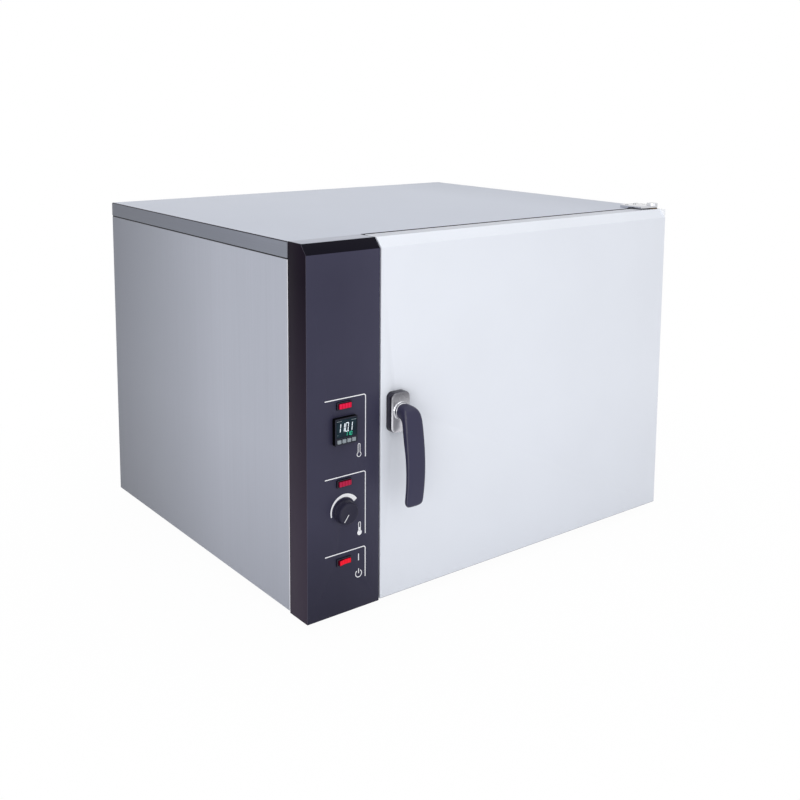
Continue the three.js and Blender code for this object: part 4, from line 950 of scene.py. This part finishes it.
def latch_collar():
    """The ring round the spindle, on the housing."""
    bm = bmesh.new()
    lathe_y(bm, LATCH_X, LATCH_Z, [(radius, COLLAR_BASE - rise) for radius, rise in COLLAR_PROFILE], 64)
    piece("latch_collar", bm, "door", CHROME, CHROME_SMOOTH)


def smooth_rows(rings, between):
    """Adds rings between rings, along smooth curves through their points."""
    rows = []
    last = len(rings) - 1
    for i in range(last):
        a, b, c, d = rings[max(i - 1, 0)], rings[i], rings[i + 1], rings[min(i + 2, last)]
        for step in range(between):
            t = step / between
            rows.append([
                (p1 * 2 + (p2 - p0) * t + (p0 * 2 - p1 * 5 + p2 * 4 - p3) * t * t
                 + (p1 * 3 - p0 - p2 * 3 + p3) * t * t * t) / 2
                for p0, p1, p2, p3 in zip(a, b, c, d)
            ])
    rows.append(rings[-1])
    return rows


def superellipse(width, power, steps):
    """A rounded outline of a width, which reaches from -1 to 1 the other way."""
    points = []
    for i in range(steps):
        a = 2 * math.pi * i / steps
        c, s = math.cos(a), math.sin(a)
        across = math.copysign(abs(c) ** (2 / power), c)
        along = math.copysign(abs(s) ** (2 / power), s)
        points.append((across * width / 2, along))
    return points


LEVER_STATIONS = [
    # front (y, z), back (y, z), width, power; z is from the spindle's centre
    ((-81.4, 13.5), (-81.4, -13), 30, 2.6), ((-88, 13.3), (-87, -13), 31.5, 2.7),
    ((-96, 12), (-92, -14.2), 33.5, 2.9), ((-103, 9.5), (-96.2, -17), 35.5, 3.2),
    ((-108.5, 5), (-99, -21), 37, 3.7), ((-112, -2), (-100.8, -26.5), 38.2, 4.2),
    ((-114.6, -12), (-102.5, -33), 39, 4.8), ((-117, -28), (-104.6, -42), 39.6, 5),
    ((-119.6, -48), (-107.6, -56), 39.8, 5.2), ((-122, -72), (-111.4, -76), 39.4, 5.4),
    ((-122.9, -98), (-113.4, -99), 39, 5.5), ((-122, -124), (-113.2, -123.5), 38.5, 5.5),
    ((-119.8, -146), (-111.2, -144.5), 38, 5.5), ((-118.3, -157), (-109.6, -155), 37.6, 5.2),
    ((-117.3, -162.4), (-109.9, -161), 35.4, 4.6), ((-116, -165.6), (-110.6, -164.8), 30, 3.6),
    ((-114.6, -167), (-111.6, -166.6), 20, 3),
]


def latch_lever():
    """The grip, lofted through its stations: out from the spindle, round the elbow, down in a shallow bow."""
    rings = []
    for front, back, width, power in LEVER_STATIONS:
        y, z = (front[0] + back[0]) / 2, (front[1] + back[1]) / 2
        dy, dz = front[0] - y, front[1] - z
        rings.append([
            at(LATCH_X + u, y + dy * v, LATCH_Z + z + dz * v) for u, v in superellipse(width, power, 56)
        ])
    bm = bmesh.new()
    loft(bm, smooth_rows(rings, 4))
    grip = piece(
        "latch_lever_grip", bm, "latch", LEVER_BLACK, GRIP_SMOOTH, replaces=("latch_lever",),
    )
    # Painted highlight on the grip's front left edge
    paint(grip, [(lambda n, x: -0.92 < n.x < -0.4 and n.y < -0.3, LEVER_HIGHLIGHT)])


latch_housing()
latch_collar()
latch_lever()

# Hinges

finished("top_hinge_bracket", CHROME, 0.5, segments=3)
finished("bottom_hinge_bracket", CHROME, 0.5, segments=3)

# Screws

SCREW_HEAD = ((1, -0.05), (1, 0.35), (0.9, 0.7), (0.68, 0.93), (0.4, 1))  # shares of its radius and rise
SCREW_CROSS = ([0.36, 0.3, 0.12, 0.3, 0.36] * 4, 0.45)  # the same, one share of the radius per side
SCREW_SIDES, SCREW_RISE = 20, 1.7
SMALL_SCREW, PANEL_SCREW, CASE_SCREW, HINGE_SCREW = 2.6, 3, 3.2, 3.6
FORWARDS, BACKWARDS, UPWARDS, DOWNWARDS = (0, -1, 0), (0, 1, 0), (0, 0, 1), (0, 0, -1)
LEFT, RIGHT = (-1, 0, 0), (1, 0, 0)


def screw(bm, where, normal, radius):
    """A pan-head screw with a cross recess, its head standing on a surface."""
    base = Matrix.Translation(at(*where)) @ Vector(normal).to_track_quat("Z", "Y").to_matrix().to_4x4()
    rings = []
    for shares, high in (*[([share] * SCREW_SIDES, high) for share, high in SCREW_HEAD], SCREW_CROSS):
        ring = []
        for i, share in enumerate(shares):
            turn, r = 2 * math.pi * i / SCREW_SIDES, radius * share * MM
            ring.append(base @ Vector((r * math.cos(turn), r * math.sin(turn), SCREW_RISE * high * MM)))
        rings.append(ring)
    loft(bm, rings)


def screws(name, body, places, normal, radius):
    bm = bmesh.new()
    for where in places:
        screw(bm, where, normal, radius)
    piece(name, bm, body, BARE)


def grid(xs, ys, zs):
    return [(x, y, z) for x in xs for y in ys for z in zs]


DOOR_BACK, BULKHEAD_FRONT, BAFFLE_FRONT = (-7,), (1.8,), (499,)
REAR = (CASE_BACK,)
HINGE_X, HINGE_Y = (412, 438), (13,)

inner_rows = grid((-302, -115, 70, 255, 444), DOOR_BACK, (31, 669))
inner_rows += grid((-302, 444), DOOR_BACK, (190, 510))
rear_rows = grid((-466, 466), REAR, (60, 250, 440, 620)) + grid((-380, -127, 127, 380), REAR, (668,))
bulkhead_rows = grid((-296, 70, 440), BULKHEAD_FRONT, (34, 640))
baffle_rows = grid((-206, 80, 366), BAFFLE_FRONT, (116, 564))
screws("door_inner_panel_screws", "door", inner_rows, BACKWARDS, PANEL_SCREW)
screws("bulkhead_screws", "casing", bulkhead_rows, FORWARDS, CASE_SCREW)
screws("rear_screws", "casing", rear_rows, BACKWARDS, CASE_SCREW)
screws("air_baffle_screws", "casing", baffle_rows, FORWARDS, SMALL_SCREW)
for side, x, way in (("left", -234.4, RIGHT), ("right", 394.4, LEFT)):
    screws(f"shelf_rack_{side}_screws", "casing", grid((x,), (19, 475), (98, 582)), way, SMALL_SCREW)
screws("top_hinge_screws", "casing", grid(HINGE_X, HINGE_Y, (691,)), UPWARDS, HINGE_SCREW)
screws("bottom_hinge_screws", "casing", grid(HINGE_X, HINGE_Y, (9,)), DOWNWARDS, HINGE_SCREW)

# Rear: a hood over each louvre slot, and the blades of the mains inlet

LOUVRES, TOP_LOUVRE_Z, LOUVRE_PITCH, LOUVRE_X = 9, 467.5, 14, (-441, -349)
HOOD_PROFILE = [(740.1, 6), (743.6, 1), (743.2, 0.2), (740.1, 4.8)]  # y, and z over the slot's lower edge
BLADES, BLADE_Y = ((-402, 87), (-388, 87), (-395, 92.5)), (726, 740)


def louvre_hoods():
    bm = bmesh.new()
    for i in range(LOUVRES):
        low = TOP_LOUVRE_Z - LOUVRE_PITCH * i
        loft(bm, [[at(x, y, low + z) for y, z in HOOD_PROFILE] for x in LOUVRE_X])
    piece("louvre_hoods", bm, "casing", STEEL_SIDE)


def inlet_blades():
    bm = bmesh.new()
    for x, z in BLADES:
        block(bm, (x - 1, x + 1), BLADE_Y, (z - 2, z + 2))
    piece("inlet_blades", bm, "casing", BRASS)


louvre_hoods()
inlet_blades()

# Everything else keeps its CAD shape

PLAIN = (
    (GALVANISED, "rear_bulkhead", "bay_wall", "latch_keeper"),
    (WOOL, "insulation_sleeve", "insulation_rear", "door_insulation"),
    (STAINLESS, "shelf_rack_left", "shelf_rack_right", "lower_shelf", "upper_shelf"),
    (STAINLESS, "fan_wheel", "vent_tube"),
    (STAINLESS_SATIN, "chamber_liner", "air_baffle"),
    (BARE, "fan_shaft", "heater_element", "control_probe", "thermostat_shaft", "latch_cam"),
    (MOTOR, "fan_motor"),
    (BLACK_PLASTIC, "power_inlet"),
    (BRASS, "safety_probe"),
    (AGED_BRASS, "top_hinge_bush", "bottom_hinge_bush"),
    (ALUMINIUM, "solid_state_relay"),
    (CERAMIC, "terminal_block", "thermostat_body"),
    (GLASS, "controller_display"),
    (SILICONE, "door_gasket"),
    (CHROME, "latch_spindle"),
)
for material, *names in PLAIN:
    for name in names:
        slots = nodes[name].data.materials
        slots.clear()
        slots.append(material)

# Colours show as written, under the Standard view transform

scene.view_settings.view_transform = "Standard"
